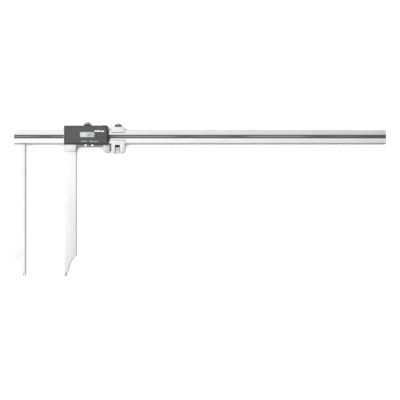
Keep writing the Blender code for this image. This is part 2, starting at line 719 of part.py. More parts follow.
def build_reader_cover(datum):
    outer = reader_shape(reader_outline(0, READER_TOP), READER_BACK, READER_SHOULDER,
                         READER_FRONT)
    cover = add_piece("reader_cover", outer, "grey_housing", datum)
    port_block = box_shape((0.0722, 0.0330, READER_BACK + CLEARANCE),
                           (0.0815, READER_TOP + 0.0005, 0.0184))
    join(cover, port_block)
    inner_top = READER_TOP - 0.0024
    inner = reader_shape(reader_outline(COVER_WALL, inner_top), READER_BACK - PAST,
                         READER_SHOULDER - 0.0004, READER_CEILING)
    cut(cover, inner)
    for place in COVER_SCREW_PLACES.values():
        join(cover, rod_shape(COVER_BOSS_RADIUS, READER_BACK + THIN_CLEARANCE, 0.0186), (*place, 0))
        cut(cover, rod_shape(0.0013, READER_BACK - PAST, 0.0180), (*place, 0))
    gap = CLEARANCE
    window = box_shape((WINDOW_LOW[0] - gap, WINDOW_LOW[1] - gap, READER_CEILING - PAST),
                       (WINDOW_HIGH[0] + gap, WINDOW_HIGH[1] + gap, READER_FRONT + PAST))
    cut(cover, window)
    label_band = box_shape((0.0044, LABEL_BAND[0], READER_FRONT - LABEL_DEPTH),
                           (0.0812, LABEL_BAND[1], READER_FRONT + PAST))
    cut(cover, label_band)
    for across in BUTTON_PLACES.values():
        half = BUTTON_HALF_WIDTH + gap
        hole = box_shape((across - half, READER_BOTTOM - PAST, BUTTON_Z[0] - gap),
                         (across + half, READER_BOTTOM + 0.003, BUTTON_Z[1] + gap))
        cut(cover, hole)
    lid_slot = box_shape((LID_LOW[0] - gap, LID_LOW[1] - gap, READER_FRONT - LID_SEAT),
                         (READER_RIGHT + PAST, LID_HIGH[1] + gap, READER_FRONT + PAST))
    cut(cover, lid_slot)
    cut(cover, rod_shape(BATTERY_ACCESS_RADIUS, 0.0202, READER_FRONT), (*BATTERY_CENTRE, 0))
    port_recess = box_shape((PORT_LEFT - gap, 0.0336, READER_BACK - PAST),
                            (PORT_RIGHT + gap, READER_TOP + PAST, READER_FRONT))
    cut(cover, port_recess)
    port_hole = box_shape((0.0575, 0.0320, 0.0150), (0.0695, 0.0345, 0.0179))
    cut(cover, port_hole)
    finger_notch = box_shape((0.0538, 0.0315, 0.0199), (0.0566, READER_TOP + PAST, 0.0225))
    cut(cover, finger_notch)
    return cover


def build_reader_boards(datum):
    """Base plate with its screws, receiver board, main board and the header between them.

    Returns the height of the main board's front face.
    """
    base_back = READER_BACK
    base_front = base_back + BASE_PLATE_THICKNESS
    base_left = READER_LEFT + COVER_WALL + 2 * CLEARANCE
    base = box_shape((base_left, 0.0016, base_back), (0.0808, 0.0292, base_front))
    plate = add_piece("base_plate", base, "satin_steel", datum)
    cut(plate, rod_shape(BATTERY_ACCESS_RADIUS, 0.013, 0.017), (*BATTERY_CENTRE, 0))
    cut(plate, box_shape((0.0120, 0.0100, 0.013), (0.0260, 0.0170, 0.017)))
    button_notch = box_shape((BUTTON_PLACES["left"] - 0.004, 0.001, 0.013),
                             (BUTTON_PLACES["right"] + 0.004, 0.0033, 0.017))
    cut(plate, button_notch)
    head_height = 0.0008
    for number, place in enumerate(BASE_SCREW_PLACES, 1):
        cut(plate, rod_shape(0.0013, 0.013, 0.017), (*place, 0))
        screw = screw_shape(0.0019, head_height, 0.0009, 0.0036)
        bmesh.ops.scale(screw, vec=(1, 1, -1), verts=screw.verts)
        location = (*place, base_front + CLEARANCE + head_height)
        add_piece(f"base_screw_{number}", screw, "screw_steel", datum, location, True)
    for side, place in COVER_SCREW_PLACES.items():
        screw = screw_shape(0.0019, 0.0017, 0.0010, 0.0172)
        add_piece(f"cover_screw_{side}", screw, "screw_steel", datum, (*place, CLEARANCE), True)
    receiver = box_shape((0.0110, 0.0066, 0.0121), (0.0710, 0.0209, 0.0131))
    add_piece("receiver_board", receiver, "laminate", datum)
    board_back = base_front + CLEARANCE
    board_front = board_back + BOARD_THICKNESS
    board = box_shape((0.0090, 0.0040, board_back), (0.0620, 0.0268, board_front))
    add_piece("main_board", board, "laminate", datum)
    header = box_shape((0.0140, 0.0120, 0.0134), (0.0240, 0.0150, board_back - CLEARANCE))
    add_piece("board_header", header, "dark_plastic", datum)
    return board_front


def build_display(datum, board_front):
    """Window, liquid-crystal module and the two elastomer strips that connect it."""
    strip_back = board_front + CLEARANCE
    strip_front = 0.0185
    for side, low in (("lower", 0.0106), ("upper", 0.0226)):
        strip = box_shape((0.0310, low, strip_back), (0.0590, low + 0.0018, strip_front))
        add_piece(f"elastomer_{side}", strip, "elastomer", datum)
    module = box_shape((0.0295, 0.0100, strip_front + CLEARANCE), (0.0605, 0.0250, 0.0202))
    add_piece("lcd_module", module, "display_glass", datum)
    pane = box_shape((*WINDOW_LOW, 0.0205), (*WINDOW_HIGH, READER_FRONT - 0.0002))
    add_piece("display_window", pane, "clear_window", datum)


def build_buttons(datum, board_front):
    """Two sprung push buttons in the reader's lower edge, and the switches they press."""
    tip = READER_BOTTOM - BUTTON_REACH
    flange_low = READER_BOTTOM + COVER_WALL + CLEARANCE + 0.0002
    for side, across in BUTTON_PLACES.items():
        stem = box_shape((across - BUTTON_HALF_WIDTH, tip, BUTTON_Z[0]),
                         (across + BUTTON_HALF_WIDTH, flange_low + 0.0005, BUTTON_Z[1]))
        edges = [edge for edge in stem.edges
                 if all(abs(vert.co.y - tip) < 1e-6 for vert in edge.verts)]
        bmesh.ops.bevel(stem, geom=edges, offset=0.0004, segments=2, profile=0.5,
                        affect="EDGES")
        button = add_piece(f"button_{side}", stem, "white_plastic", datum)
        flange = box_shape((across - 0.0031, flange_low, 0.0157),
                           (across + 0.0031, flange_low + 0.0010, BUTTON_Z[1] - 0.0001))
        join(button, flange)
        plunger = box_shape((across - 0.0010, flange_low + 0.0005, 0.0168),
                            (across + 0.0010, SWITCH_FACE - 0.0009, 0.0172))
        join(button, plunger)
        switch = box_shape((across - 0.0026, SWITCH_FACE, board_front + CLEARANCE),
                           (across + 0.0026, 0.0066, 0.0182))
        add_piece(f"switch_{side}", switch, "dark_plastic", datum)


def build_battery(datum):
    """Button cell, its two contacts and the lid that slides off to the right."""
    cell = turned_shape([
        (0, 0.0147),
        (0.0050, 0.0147),
        (0.0050, 0.0150),
        (BATTERY_RADIUS, 0.0156),
        (BATTERY_RADIUS, 0.0197),
        (0.0054, 0.0201),
        (0, 0.0201),
    ], segments=ROUND_SEGMENTS)
    add_piece("battery", cell, "cell_steel", datum, (*BATTERY_CENTRE, 0), True)
    middle_x, middle_y = BATTERY_CENTRE
    lower = box_shape((middle_x - 0.0045, middle_y - 0.0012, 0.01425),
                      (middle_x + 0.0045, middle_y + 0.0012, 0.01445))
    add_piece("battery_contact_lower", lower, "brass", datum)
    side_x = middle_x - BATTERY_RADIUS - 0.0013
    side = box_shape((side_x, middle_y - 0.0032, 0.0166),
                     (side_x + 0.0003, middle_y + 0.0032, 0.0199))
    add_piece("battery_contact_side", side, "brass", datum)
    lid_back = READER_FRONT - LID_SEAT + 0.00015
    lid_front = READER_FRONT - 0.00005
    lid = box_shape((*LID_LOW, lid_back), (*LID_HIGH, lid_front))
    edges = [edge for edge in lid.edges
             if all(vert.co.x > LID_HIGH[0] - PAST and vert.co.z > lid_back + 1e-5
                    for vert in edge.verts)]
    bmesh.ops.bevel(lid, geom=edges, offset=0.0005, segments=1, affect="EDGES")
    add_piece("battery_lid", lid, "grey_housing", datum)


def build_data_port(datum):
    """The data connector on the reader's top edge and the rubber cover that pulls off it."""
    socket = add_piece(
        "data_port", box_shape((0.0582, 0.0270, 0.0157), (0.0688, 0.0314, 0.0180)),
        "dark_plastic", datum,
    )
    cut(socket, box_shape((0.0592, 0.0285, 0.0162), (0.0678, 0.0330, 0.0175)))
    flap = box_shape((PORT_LEFT, 0.0339, 0.0146), (PORT_RIGHT, 0.0346, 0.0179))
    cover = add_piece("data_port_cover", flap, "rubber", datum)
    join(cover, box_shape((0.0580, 0.0323, 0.0153), (0.0690, 0.0341, 0.0176)))


def build_caliper():
    middle_x = (BEAM_RIGHT - FIXED_JAW_WIDTH) / 2
    middle_y = (LOCK_KNOB_TOP - JAW_DEPTH) / 2
    caliper_datum = make_datum("caliper_datum", (-middle_x, -middle_y, 0))
    slider_datum = make_datum("slider_datum", (OPENING, 0, 0), caliper_datum)
    build_beam(caliper_datum)
    build_fixed_jaw(caliper_datum)
    build_scale(caliper_datum)
    build_end_stop(caliper_datum)
    build_slider_frame(slider_datum)
    build_movable_jaw(slider_datum)
    build_gib(slider_datum)
    build_lock(slider_datum)
    build_carriage(slider_datum)
    build_clamp(slider_datum)
    build_feed(slider_datum)
    build_reader_cover(slider_datum)
    board_front = build_reader_boards(slider_datum)
    build_display(slider_datum, board_front)
    build_buttons(slider_datum, board_front)
    build_battery(slider_datum)
    build_data_port(slider_datum)


clear_scene()
build_caliper()
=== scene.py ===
"""Looks of the long-jaw digital caliper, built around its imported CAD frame.

The frame gives every place and size: the beam's box and the jaws' measuring faces are the
datums, and each piece is a refined copy of its CAD node or a finer shape in the same space.
Lengths are in metres unless a name says millimetres.
"""

from __future__ import annotations

import functools
import json
import logging
import math
from dataclasses import dataclass, field
from enum import Enum
from typing import Mapping, Optional, Protocol, Sequence, Union

import bmesh
import bpy
from mathutils import Euler, Matrix, Vector

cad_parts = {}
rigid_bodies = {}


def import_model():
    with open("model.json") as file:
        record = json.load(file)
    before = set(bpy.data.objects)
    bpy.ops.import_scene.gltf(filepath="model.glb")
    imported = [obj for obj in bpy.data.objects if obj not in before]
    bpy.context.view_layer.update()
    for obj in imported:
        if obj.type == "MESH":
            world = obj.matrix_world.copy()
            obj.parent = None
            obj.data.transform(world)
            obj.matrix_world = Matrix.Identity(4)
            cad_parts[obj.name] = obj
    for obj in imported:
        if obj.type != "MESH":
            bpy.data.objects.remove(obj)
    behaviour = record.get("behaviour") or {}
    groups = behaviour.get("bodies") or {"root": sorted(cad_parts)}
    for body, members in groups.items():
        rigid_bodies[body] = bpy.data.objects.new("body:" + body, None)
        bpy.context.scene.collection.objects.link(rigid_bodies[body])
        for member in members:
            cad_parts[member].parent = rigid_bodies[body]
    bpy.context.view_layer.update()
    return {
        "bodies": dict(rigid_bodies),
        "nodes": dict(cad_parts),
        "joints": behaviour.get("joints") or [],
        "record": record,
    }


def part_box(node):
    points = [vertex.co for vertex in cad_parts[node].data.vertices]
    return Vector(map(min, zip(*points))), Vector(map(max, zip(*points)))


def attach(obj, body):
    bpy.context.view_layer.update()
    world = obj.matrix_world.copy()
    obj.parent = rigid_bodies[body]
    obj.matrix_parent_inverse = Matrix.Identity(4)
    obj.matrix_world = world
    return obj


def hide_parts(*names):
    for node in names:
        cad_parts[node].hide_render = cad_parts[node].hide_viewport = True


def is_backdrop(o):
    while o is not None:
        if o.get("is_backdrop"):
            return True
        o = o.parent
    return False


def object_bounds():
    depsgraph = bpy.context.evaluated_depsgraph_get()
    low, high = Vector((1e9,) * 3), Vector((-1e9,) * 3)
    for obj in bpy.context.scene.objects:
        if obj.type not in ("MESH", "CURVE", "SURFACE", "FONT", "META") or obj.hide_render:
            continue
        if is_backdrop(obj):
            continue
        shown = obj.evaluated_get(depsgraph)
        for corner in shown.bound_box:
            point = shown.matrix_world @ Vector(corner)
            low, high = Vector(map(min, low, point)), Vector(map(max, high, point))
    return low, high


log = logging.getLogger("caliper")

MM = 0.001
MERGE_DISTANCE = 2e-6
FLAT_ANGLE = math.radians(0.5)
BEVEL_ANGLE = math.radians(28)
SAME_LINE = 0.05 * MM
INK_HALF = 0.012 * MM
FASTENER_SEGMENTS = 36
FACES_PER_TOOTH = 4
UNTURNED = (0.0, 0.0, 0.0)
# The colour sockets of a Mix node, by number, because their names repeat.
COLOUR_A, COLOUR_B, COLOUR_OUT = 6, 7, 2


class Body(str, Enum):
    """The frame's bodies that new pieces ride on."""

    BEAM = "beam"
    SLIDER = "slider"
    LID = "battery_lid"
    PORT_COVER = "data_port_cover"
    BUTTON_LEFT = "button_left"
    BUTTON_RIGHT = "button_right"
    LOCK_SCREW = "lock_screw"
    CARRIAGE = "carriage"
    CLAMP_SCREW = "clamp_screw"
    NUT = "feed_nut"


class Slot(str, Enum):
    """The record's material slots, passed along with each new piece."""

    BEAM = "beam_steel"
    JAW = "jaw_steel"
    SLIDER = "slider_steel"
    SCREW = "screw_steel"
    TAPE = "scale_tape"
    HOUSING = "grey_housing"
    BUTTON = "button_white"
    WINDOW = "window_clear"
    DISPLAY = "lcd_glass"
    BRASS = "brass"
    RUBBER = "port_rubber"


class Axis(Enum):
    """The direction of a shaft, or of the marks on a worked face."""

    X = (1.0, 0.0, 0.0)
    Y = (0.0, 1.0, 0.0)
    Z = (0.0, 0.0, 1.0)

    def turn(self) -> tuple[float, float, float]:
        """The Euler angles that lay +Z along this axis."""
        quarter = math.pi / 2
        return {Axis.X: (0.0, quarter, 0.0), Axis.Y: (-quarter, 0.0, 0.0)}.get(self, UNTURNED)

    def upon(self, place: Vector) -> Matrix:
        """The matrix that lays +Z along this axis through a place."""
        return Matrix.LocRotScale(place, Euler(self.turn()), None)


class Rim(Enum):
    """What the shaped rings of a turned piece become."""

    SOCKET = "hexagonal socket"
    KNURL = "straight knurl"


# ---------------------------------------------------------------------------------------------
# Node graphs
# ---------------------------------------------------------------------------------------------


class Signal:
    """An output of a node that takes part in Python expressions."""

    def __init__(self, graph: "Graph", node: bpy.types.Node, output: Union[int, str] = 0) -> None:
        """Wraps one output of a node."""
        self.graph = graph
        self.node = node
        self.output = output

    @property
    def socket(self) -> bpy.types.NodeSocket:
        """The wrapped output socket."""
        return self.node.outputs[self.output]

    def out(self, output: Union[int, str]) -> "Signal":
        """Another output of the same node."""
        return Signal(self.graph, self.node, output)

    def calc(self, operation: str, *others: "Number") -> "Signal":
        """Applies a Math node to this signal and up to two more numbers or signals."""
        inputs = dict(enumerate((self, *others)))
        return self.graph.node("ShaderNodeMath", {"operation": operation}, inputs)

    def _reflected(self, operation: str, first: "Number") -> "Signal":
        """Applies a Math node with this signal as its second value."""
        return self.graph.node("ShaderNodeMath", {"operation": operation}, {0: first, 1: self})

    def __add__(self, other: "Number") -> "Signal":
        """self + other."""
        return self.calc("ADD", other)

    __radd__ = __add__

    def __sub__(self, other: "Number") -> "Signal":
        """self - other."""
        return self.calc("SUBTRACT", other)

    def __rsub__(self, other: "Number") -> "Signal":
        """other - self."""
        return self._reflected("SUBTRACT", other)

    def __mul__(self, other: "Number") -> "Signal":
        """self * other."""
        return self.calc("MULTIPLY", other)

    __rmul__ = __mul__

    def __truediv__(self, other: "Number") -> "Signal":
        """self / other."""
        return self.calc("DIVIDE", other)

    def __rtruediv__(self, other: "Number") -> "Signal":
        """other / self."""
        return self._reflected("DIVIDE", other)

    def __mod__(self, other: "Number") -> "Signal":
        """The positive remainder of self / other."""
        return self.calc("FLOORED_MODULO", other)

    def __abs__(self) -> "Signal":
        """The size of the signal."""
        return self.calc("ABSOLUTE")

    def below(self, limit: "Number") -> "Signal":
        """1 where the signal is less than the limit, else 0."""
        return self.calc("LESS_THAN", limit)

    def above(self, limit: "Number") -> "Signal":
        """1 where the signal is greater than the limit, else 0."""
        return self.calc("GREATER_THAN", limit)

    def between(self, low: float, high: float) -> "Signal":
        """1 where the signal lies between two limits, else 0."""
        return self.above(low) * self.below(high)

    def ramp(self, low: float, high: float) -> "Signal":
        """Rises smoothly from 0 at low to 1 at high."""
        settings = {"interpolation_type": "SMOOTHSTEP"}
        return self.graph.node("ShaderNodeMapRange", settings, {0: self, 1: low, 2: high})


Number = Union[float, Signal]
Colour = tuple[float, float, float]


class Graph:
    """Adds nodes to a shader tree or a geometry tree."""

    def __init__(self, tree: bpy.types.NodeTree) -> None:
        """Wraps a node tree."""
        self.tree = tree

    def node(
        self,
        kind: str,
        settings: Optional[Mapping[str, object]] = None,
        inputs: Optional[Mapping[Union[int, str], object]] = None,
    ) -> Signal:
        """Adds a node.

        Args:
            kind: the node's type.
            settings: its properties, set before its sockets. "stops" fills a colour ramp.
            inputs: a value or a signal for each socket, by index or name.

        Returns:
            The node's first output.
        """
        made = self.tree.nodes.new(kind)
        for name, value in (settings or {}).items():
            if name == "stops":
                self._fill_ramp(made, value)
            else:
                setattr(made, name, value)
        for key, value in (inputs or {}).items():
            if isinstance(value, Signal):
                self.tree.links.new(value.socket, made.inputs[key])
            else:
                made.inputs[key].default_value = value
        return Signal(self, made)

    @staticmethod
    def _fill_ramp(node: bpy.types.Node, stops: Sequence[tuple[float, Colour]]) -> None:
        """Sets the stops of a colour ramp from its (place, colour) pairs."""
        elements = node.color_ramp.elements
        while len(elements) < len(stops):
            elements.new(1.0)
        for element, (place, colour) in zip(elements, stops):
            element.position = place
            element.color = (*colour, 1.0)

    def split(self, vector: Signal) -> tuple[Signal, Signal, Signal]:
        """The three components of a vector."""
        parts = self.node("ShaderNodeSeparateXYZ", None, {0: vector})
        return parts, parts.out(1), parts.out(2)

    def join(self, x: Number, y: Number, z: Number) -> Signal:
        """A vector from its components."""
        return self.node("ShaderNodeCombineXYZ", None, {0: x, 1: y, 2: z})


class Shader(Graph):
    """The graph of one material: object coordinates in, one Principled shader out."""

    def __init__(self, name: str) -> None:
        """Makes an empty material with that name."""
        self.material = bpy.data.materials.new(name)
        self.material.use_nodes = True
        super().__init__(self.material.node_tree)
        self.tree.nodes.clear()
        self.coordinates = self.node("ShaderNodeTexCoord")

    def place(self) -> Signal:
        """The place on the object in millimetres."""
        scale = (1 / MM, 1 / MM, 1 / MM)
        inputs = {0: self.coordinates.out("Object"), 1: scale}
        return self.node("ShaderNodeVectorMath", {"operation": "MULTIPLY"}, inputs)

    def facing(self) -> tuple[Signal, Signal, Signal]:
        """The components of the surface's own direction."""
        return self.split(self.coordinates.out("Normal"))

    def noise(self, grain: Sequence[float], detail: float = 3.0, rough: float = 0.55) -> Signal:
        """A noise between 0 and 1.

        Args:
            grain: the size of its features along each axis, in millimetres.
            detail: the number of octaves.
            rough: how much the finer octaves add.

        Returns:
            The noise's value.
        """
        scale = tuple(1 / size for size in grain)
        stretched = self.node(
            "ShaderNodeVectorMath", {"operation": "MULTIPLY"}, {0: self.place(), 1: scale}
        )
        inputs = {"Vector": stretched, "Scale": 1.0, "Detail": detail, "Roughness": rough}
        return self.node("ShaderNodeTexNoise", {"noise_dimensions": "3D"}, inputs)

    def edge_wear(self, radius: float) -> Signal:
        """Rises from 0 on a flat face to 1 on an edge sharper than the radius."""
        rounded = self.node("ShaderNodeBevel", {"samples": 4}, {"Radius": radius})
        actual = self.node("ShaderNodeNewGeometry").out("Normal")
        likeness = self.node(
            "ShaderNodeVectorMath", {"operation": "DOT_PRODUCT"}, {0: rounded, 1: actual}
        ).out("Value")
        return (1 - likeness).ramp(0.01, 0.16)

    def mix(self, share: Number, first: object, second: object) -> Signal:
        """Mixes two colours."""
        inputs = {0: share, COLOUR_A: self._colour(first), COLOUR_B: self._colour(second)}
        return self.node("ShaderNodeMix", {"data_type": "RGBA"}, inputs).out(COLOUR_OUT)

    def shade(self, colour: Union[Colour, Signal], factor: Signal) -> Signal:
        """Multiplies a colour by a number that varies."""
        grey = self.join(factor, factor, factor)
        inputs = {0: 1.0, COLOUR_A: self._colour(colour), COLOUR_B: grey}
        settings = {"data_type": "RGBA", "blend_type": "MULTIPLY", "clamp_factor": False}
        return self.node("ShaderNodeMix", settings, inputs).out(COLOUR_OUT)

    @staticmethod
    def _colour(value: object) -> object:
        """A colour socket's value, with its alpha."""
        return value if isinstance(value, Signal) else (*value, 1.0)

    def bump(self, height: Signal, depth: float, strength: float = 1.0) -> Signal:
        """A normal from a height between 0 and 1 that stands for a depth in metres."""
        inputs = {"Height": height, "Distance": depth, "Strength": strength}
        return self.node("ShaderNodeBump", None, inputs)

    def principled(self, sockets: Mapping[str, object]) -> Signal:
        """The material's shader, with those socket values."""
        return self.node("ShaderNodeBsdfPrincipled", None, sockets)

    def close(self, surface: Signal) -> bpy.types.Material:
        """Ends the material with that surface."""
        self.node("ShaderNodeOutputMaterial", None, {"Surface": surface})
        return self.material


# ---------------------------------------------------------------------------------------------
# Finishes
# ---------------------------------------------------------------------------------------------


class Finish(Protocol):
    """Anything that can make a material."""

    name: str

    def build(self) -> bpy.types.Material:
        """Makes the material."""


@functools.cache
def material_of(finish: Finish) -> bpy.types.Material:
    """The one material of a finish, made when it is first asked for."""
    return finish.build()


@dataclass(frozen=True)
class DarkenedBand:
    """A part of a steel piece painted darker, in millimetres.

    Attributes:
        left: the x where the band begins.
        right: the x where it ends.
        below: the y under which it lies.
        behind: the z behind which it lies.
        tone: its brightness beside the rest of the piece.
    """

    left: float
    right: float
    below: float
    behind: float
    tone: float

    def mask(self, shader: Shader) -> Signal:
        """1 inside the band, else 0."""
        x, y, z = shader.split(shader.place())
        return x.between(self.left, self.right) * y.below(self.below) * z.below(self.behind)


@dataclass(frozen=True)
class WorkedSteel:
    """Steel with ground or turned marks, faint stains, brighter worn edges, and painted shade on
    faces that look sideways.

    Attributes:
        tint: the colour on the worked faces.
        lay: the direction of the marks, or None for a blasted surface.
        mark_width: the marks' width in millimetres.
        roughness: the mean roughness.
        scatter: how much the marks change colour and roughness.
        painted_side_tone: painted shade on faces that look sideways, given as the brightness they
            keep.
        edge_tone: the brightness along worn edges.
        stain: how much the stains darken it.
        bands: its parts painted darker, such as painted shade.
    """

    name: str
    tint: Colour = (0.90, 0.90, 0.89)
    lay: Optional[Axis] = Axis.X
    mark_width: float = 0.10
    roughness: float = 0.26
    scatter: float = 0.10
    painted_side_tone: float = 0.30
    edge_tone: float = 1.06
    stain: float = 0.04
    bands: tuple[DarkenedBand, ...] = ()

    def _grain(self) -> tuple[float, float, float]:
        """The size of one mark along each axis, in millimetres."""
        if self.lay is None:
            return (self.mark_width,) * 3
        length = 60 * self.mark_width
        return tuple(length if part else self.mark_width for part in self.lay.value)

    def build(self) -> bpy.types.Material:
        """Makes the steel's material."""
        shader = Shader(self.name)
        marks = shader.noise(self._grain(), detail=2.0)
        streaks = shader.noise(tuple(7 * size for size in self._grain()), detail=2.0)
        stains = shader.noise((24.0, 24.0, 24.0), detail=3.0).ramp(0.42, 0.72)
        upright = abs(shader.facing()[2]).ramp(0.70, 0.97)
        wear = shader.edge_wear(0.35 * MM)
        tone = 1 + (marks - 0.5) * self.scatter + (streaks - 0.5) * (0.5 * self.scatter)
        tone = tone * (1 - stains * self.stain)
        # Painted shade: faces that look sideways are made darker than upright faces.
        tone = tone * (self.painted_side_tone + upright * (1 - self.painted_side_tone))
        tone = tone * (1 + wear * (self.edge_tone - 1))
        # The bands paint parts darker: painted shade on the slider's lower rail and in the
        # carriage's nut pocket.
        for band in self.bands:
            tone = tone * (1 - band.mask(shader) * (1 - band.tone))
        rough = self.roughness + (marks - 0.5) * (1.2 * self.scatter) + stains * 0.06
        rough = rough + (streaks - 0.5) * self.scatter - wear * 0.05
        return shader.close(shader.principled({
            "Base Color": shader.shade(self.tint, tone),
            "Metallic": 1.0,
            "Roughness": rough,
            "Normal": shader.bump(marks, 0.004 * MM, 0.5),
        }))


@dataclass(frozen=True)
class MouldedPlastic:
    """Moulded plastic or rubber with a spark-eroded grain, rubbed edges, and painted shade on faces
    that look sideways.

    Attributes:
        tint: the plastic's colour.
        roughness: the mean roughness.
        grain: the size of the grain in millimetres.
        grain_depth: the depth of the grain in millimetres.
        patch: how much its brightness drifts from place to place.
        edge_tone: the brightness along rubbed edges.
        coat: the weight of a glossy skin.
        warmth: how the colour shifts in patches.
        painted_side_tone: painted shade on faces that look sideways, given as the brightness they
            keep.
    """

    name: str
    tint: Colour
    roughness: float = 0.46
    grain: float = 0.16
    grain_depth: float = 0.012
    patch: float = 0.06
    edge_tone: float = 1.35
    coat: float = 0.0
    warmth: Colour = (1.0, 1.0, 1.0)
    painted_side_tone: float = 0.55

    def build(self) -> bpy.types.Material:
        """Makes the plastic's material."""
        shader = Shader(self.name)
        pits = shader.noise((self.grain,) * 3, detail=2.0, rough=0.7)
        patches = shader.noise((9.0, 9.0, 9.0), detail=2.0)
        wear = shader.edge_wear(0.5 * MM)
        scuffs = shader.noise((3.0, 0.25, 0.25), detail=4.0).ramp(0.62, 0.80)
        tone = 1 + (patches - 0.5) * (2 * self.patch) + (pits - 0.5) * 0.10
        tone = tone * (1 + wear * (self.edge_tone - 1)) + scuffs * 0.04
        # Painted shade: faces that look sideways are made darker than upright faces.
        upright = abs(shader.facing()[2]).ramp(0.60, 0.97)
        tone = tone * (self.painted_side_tone + upright * (1 - self.painted_side_tone))
        warm = tuple(part * shift for part, shift in zip(self.tint, self.warmth))
        base = shader.mix(patches.ramp(0.40, 0.62), self.tint, warm)
        return shader.close(shader.principled({
            "Base Color": shader.shade(base, tone),
            "Roughness": self.roughness + (pits - 0.5) * 0.16 - scuffs * 0.08,
            "Coat Weight": self.coat,
            "Normal": shader.bump(pits, self.grain_depth * MM, 0.6),
        }))


@dataclass(frozen=True)
class ScaleFilm:
    """Dark satin film over the sensor strip, with a paler line along its middle.

    Attributes:
        middle: the y of the film's middle line, in millimetres.
        start: the x where its pattern starts, in millimetres.
    """

    name: str
    middle: float
    start: float
    half_width: float = 3.7
    dark: Colour = (0.052, 0.051, 0.049)
    pale: Colour = (0.200, 0.197, 0.192)
    pitch: float = 1.27

    def build(self) -> bpy.types.Material:
        """Makes the film's material."""
        shader = Shader(self.name)
        x, y, _ = shader.split(shader.place())
        from_middle = abs(y - self.middle)
        bars = ((x - self.start) % self.pitch).below(0.55 * self.pitch)
        bars = bars * from_middle.between(1.5, self.half_width - 0.5)
        border = from_middle.above(self.half_width - 0.22)
        mottle = shader.noise((30.0, 1.2, 1.2), detail=3.0)
        drift = shader.noise((90.0, 40.0, 40.0), detail=1.0).ramp(0.36, 0.66)
        line = (1 - from_middle.ramp(0.35, 1.35)) * drift
        fine = shader.noise((0.6, 0.05, 0.05), detail=2.0)
        tone = 0.94 + bars * 0.10 + (mottle - 0.5) * 0.22 + (fine - 0.5) * 0.12 - border * 0.45
        return shader.close(shader.principled({
            "Base Color": shader.shade(shader.mix(line, self.dark, self.pale), tone),
            "Roughness": 0.42 + (fine - 0.5) * 0.2 - bars * 0.05,
            "Coat Weight": 0.15 + line * 0.15,
            "Normal": shader.bump(fine + bars * 0.3, 0.004 * MM, 0.5),
        }))


@dataclass(frozen=True)
class PrintedBoard:
    """Green solder mask over glass laminate, with copper tracks and gold pads."""

    name: str
    mask: Colour = (0.035, 0.145, 0.060)
    track: Colour = (0.080, 0.260, 0.110)
    pad: Colour = (0.80, 0.60, 0.26)
    pitch: float = 1.27

    def build(self) -> bpy.types.Material:
        """Makes the board's material."""
        shader = Shader(self.name)
        x, y, _ = shader.split(shader.place())
        column = (x % self.pitch).below(0.36 * self.pitch)
        row = (y % (2 * self.pitch)).below(0.18 * self.pitch)
        choice = shader.noise((5.0, 5.0, 5.0), detail=1.0)
        tracks = (column * choice.above(0.5) + row * choice.below(0.5)).calc("MINIMUM", 1.0)
        pads = (x % (4 * self.pitch)).below(0.8) * (y % (3 * self.pitch)).below(0.8)
        weave = ((x + y) * 9.0).calc("SINE") * ((x - y) * 9.0).calc("SINE")
        surface = shader.mix(pads, shader.mix(tracks, self.mask, self.track), self.pad)
        return shader.close(shader.principled({
            "Base Color": shader.shade(surface, 1 + weave * 0.05),
            "Metallic": pads,
            "Roughness": 0.34 + weave * 0.04,
            "Coat Weight": 0.4 - pads * 0.4,
            "Normal": shader.bump(tracks + weave * 0.1, 0.02 * MM, 0.5),
        }))


@dataclass(frozen=True)
class DisplayFace:
    """The pale reflective face of the liquid-crystal cell."""

    name: str
    tint: Colour = (0.50, 0.455, 0.47)

    def build(self) -> bpy.types.Material:
        """Makes the display's material."""
        shader = Shader(self.name)
        cloud = shader.noise((14.0, 8.0, 8.0), detail=2.0)
        sparkle = shader.noise((0.05, 0.05, 0.05), detail=1.0)
        tone = 0.97 + (cloud - 0.5) * 0.08 + (sparkle - 0.5) * 0.06
        return shader.close(shader.principled({
            "Base Color": shader.shade(self.tint, tone),
            "Roughness": 0.24 + (sparkle - 0.5) * 0.1,
            "Coat Weight": 0.3 + cloud * 0.1,
        }))


@dataclass(frozen=True)
class ClearPane:
    """A clear acrylic pane: see-through, with a gloss that grows towards its edges."""

    name: str
    tint: Colour = (0.96, 0.985, 0.975)

    def build(self) -> bpy.types.Material:
        """Makes the pane's material."""
        shader = Shader(self.name)
        smear = shader.noise((6.0, 2.0, 2.0), detail=4.0)
        fresnel = shader.node("ShaderNodeFresnel", None, {"IOR": 1.45})
        clear = shader.node("ShaderNodeBsdfTransparent", None, {"Color": (*self.tint, 1.0)})
        gloss = shader.principled({
            "Base Color": (0.9, 0.93, 0.93, 1.0),
            "Roughness": 0.04 + smear * 0.08,
            "IOR": 1.45,
        })
        share = (fresnel + smear * 0.03).calc("MINIMUM", 0.9)
        pane = shader.node("ShaderNodeMixShader", None, {0: share, 1: clear, 2: gloss})
        return shader.close(pane)


@dataclass(frozen=True)
class ZebraRubber:
    """Silicone rubber with thin carbon layers across it, which connect a display to its board."""

    name: str
    pitch: float = 0.18

    def build(self) -> bpy.types.Material:
        """Makes the striped rubber's material."""
        shader = Shader(self.name)
        x, _, _ = shader.split(shader.place())
        carbon = (x % self.pitch).below(0.5 * self.pitch)
        dust = shader.noise((0.4, 0.4, 0.4))
        colour = shader.mix(carbon, (0.62, 0.60, 0.55), (0.05, 0.05, 0.05))
        return shader.close(shader.principled({
            "Base Color": shader.shade(colour, 0.9 + dust * 0.2),
            "Roughness": 0.62 + dust * 0.2,
            "Normal": shader.bump(carbon, 0.01 * MM, 0.5),
        }))


@dataclass(frozen=True)
class Print:
    """Matt printing ink, thinner in places."""

    name: str
    tint: Colour

    def build(self) -> bpy.types.Material:
        """Makes the ink's material."""
        shader = Shader(self.name)
        wear = shader.noise((0.5, 0.5, 0.5), detail=4.0)
        return shader.close(shader.principled({
            "Base Color": shader.shade(self.tint, 0.9 + wear * 0.2),
            "Roughness": 0.45 + wear * 0.2,
        }))
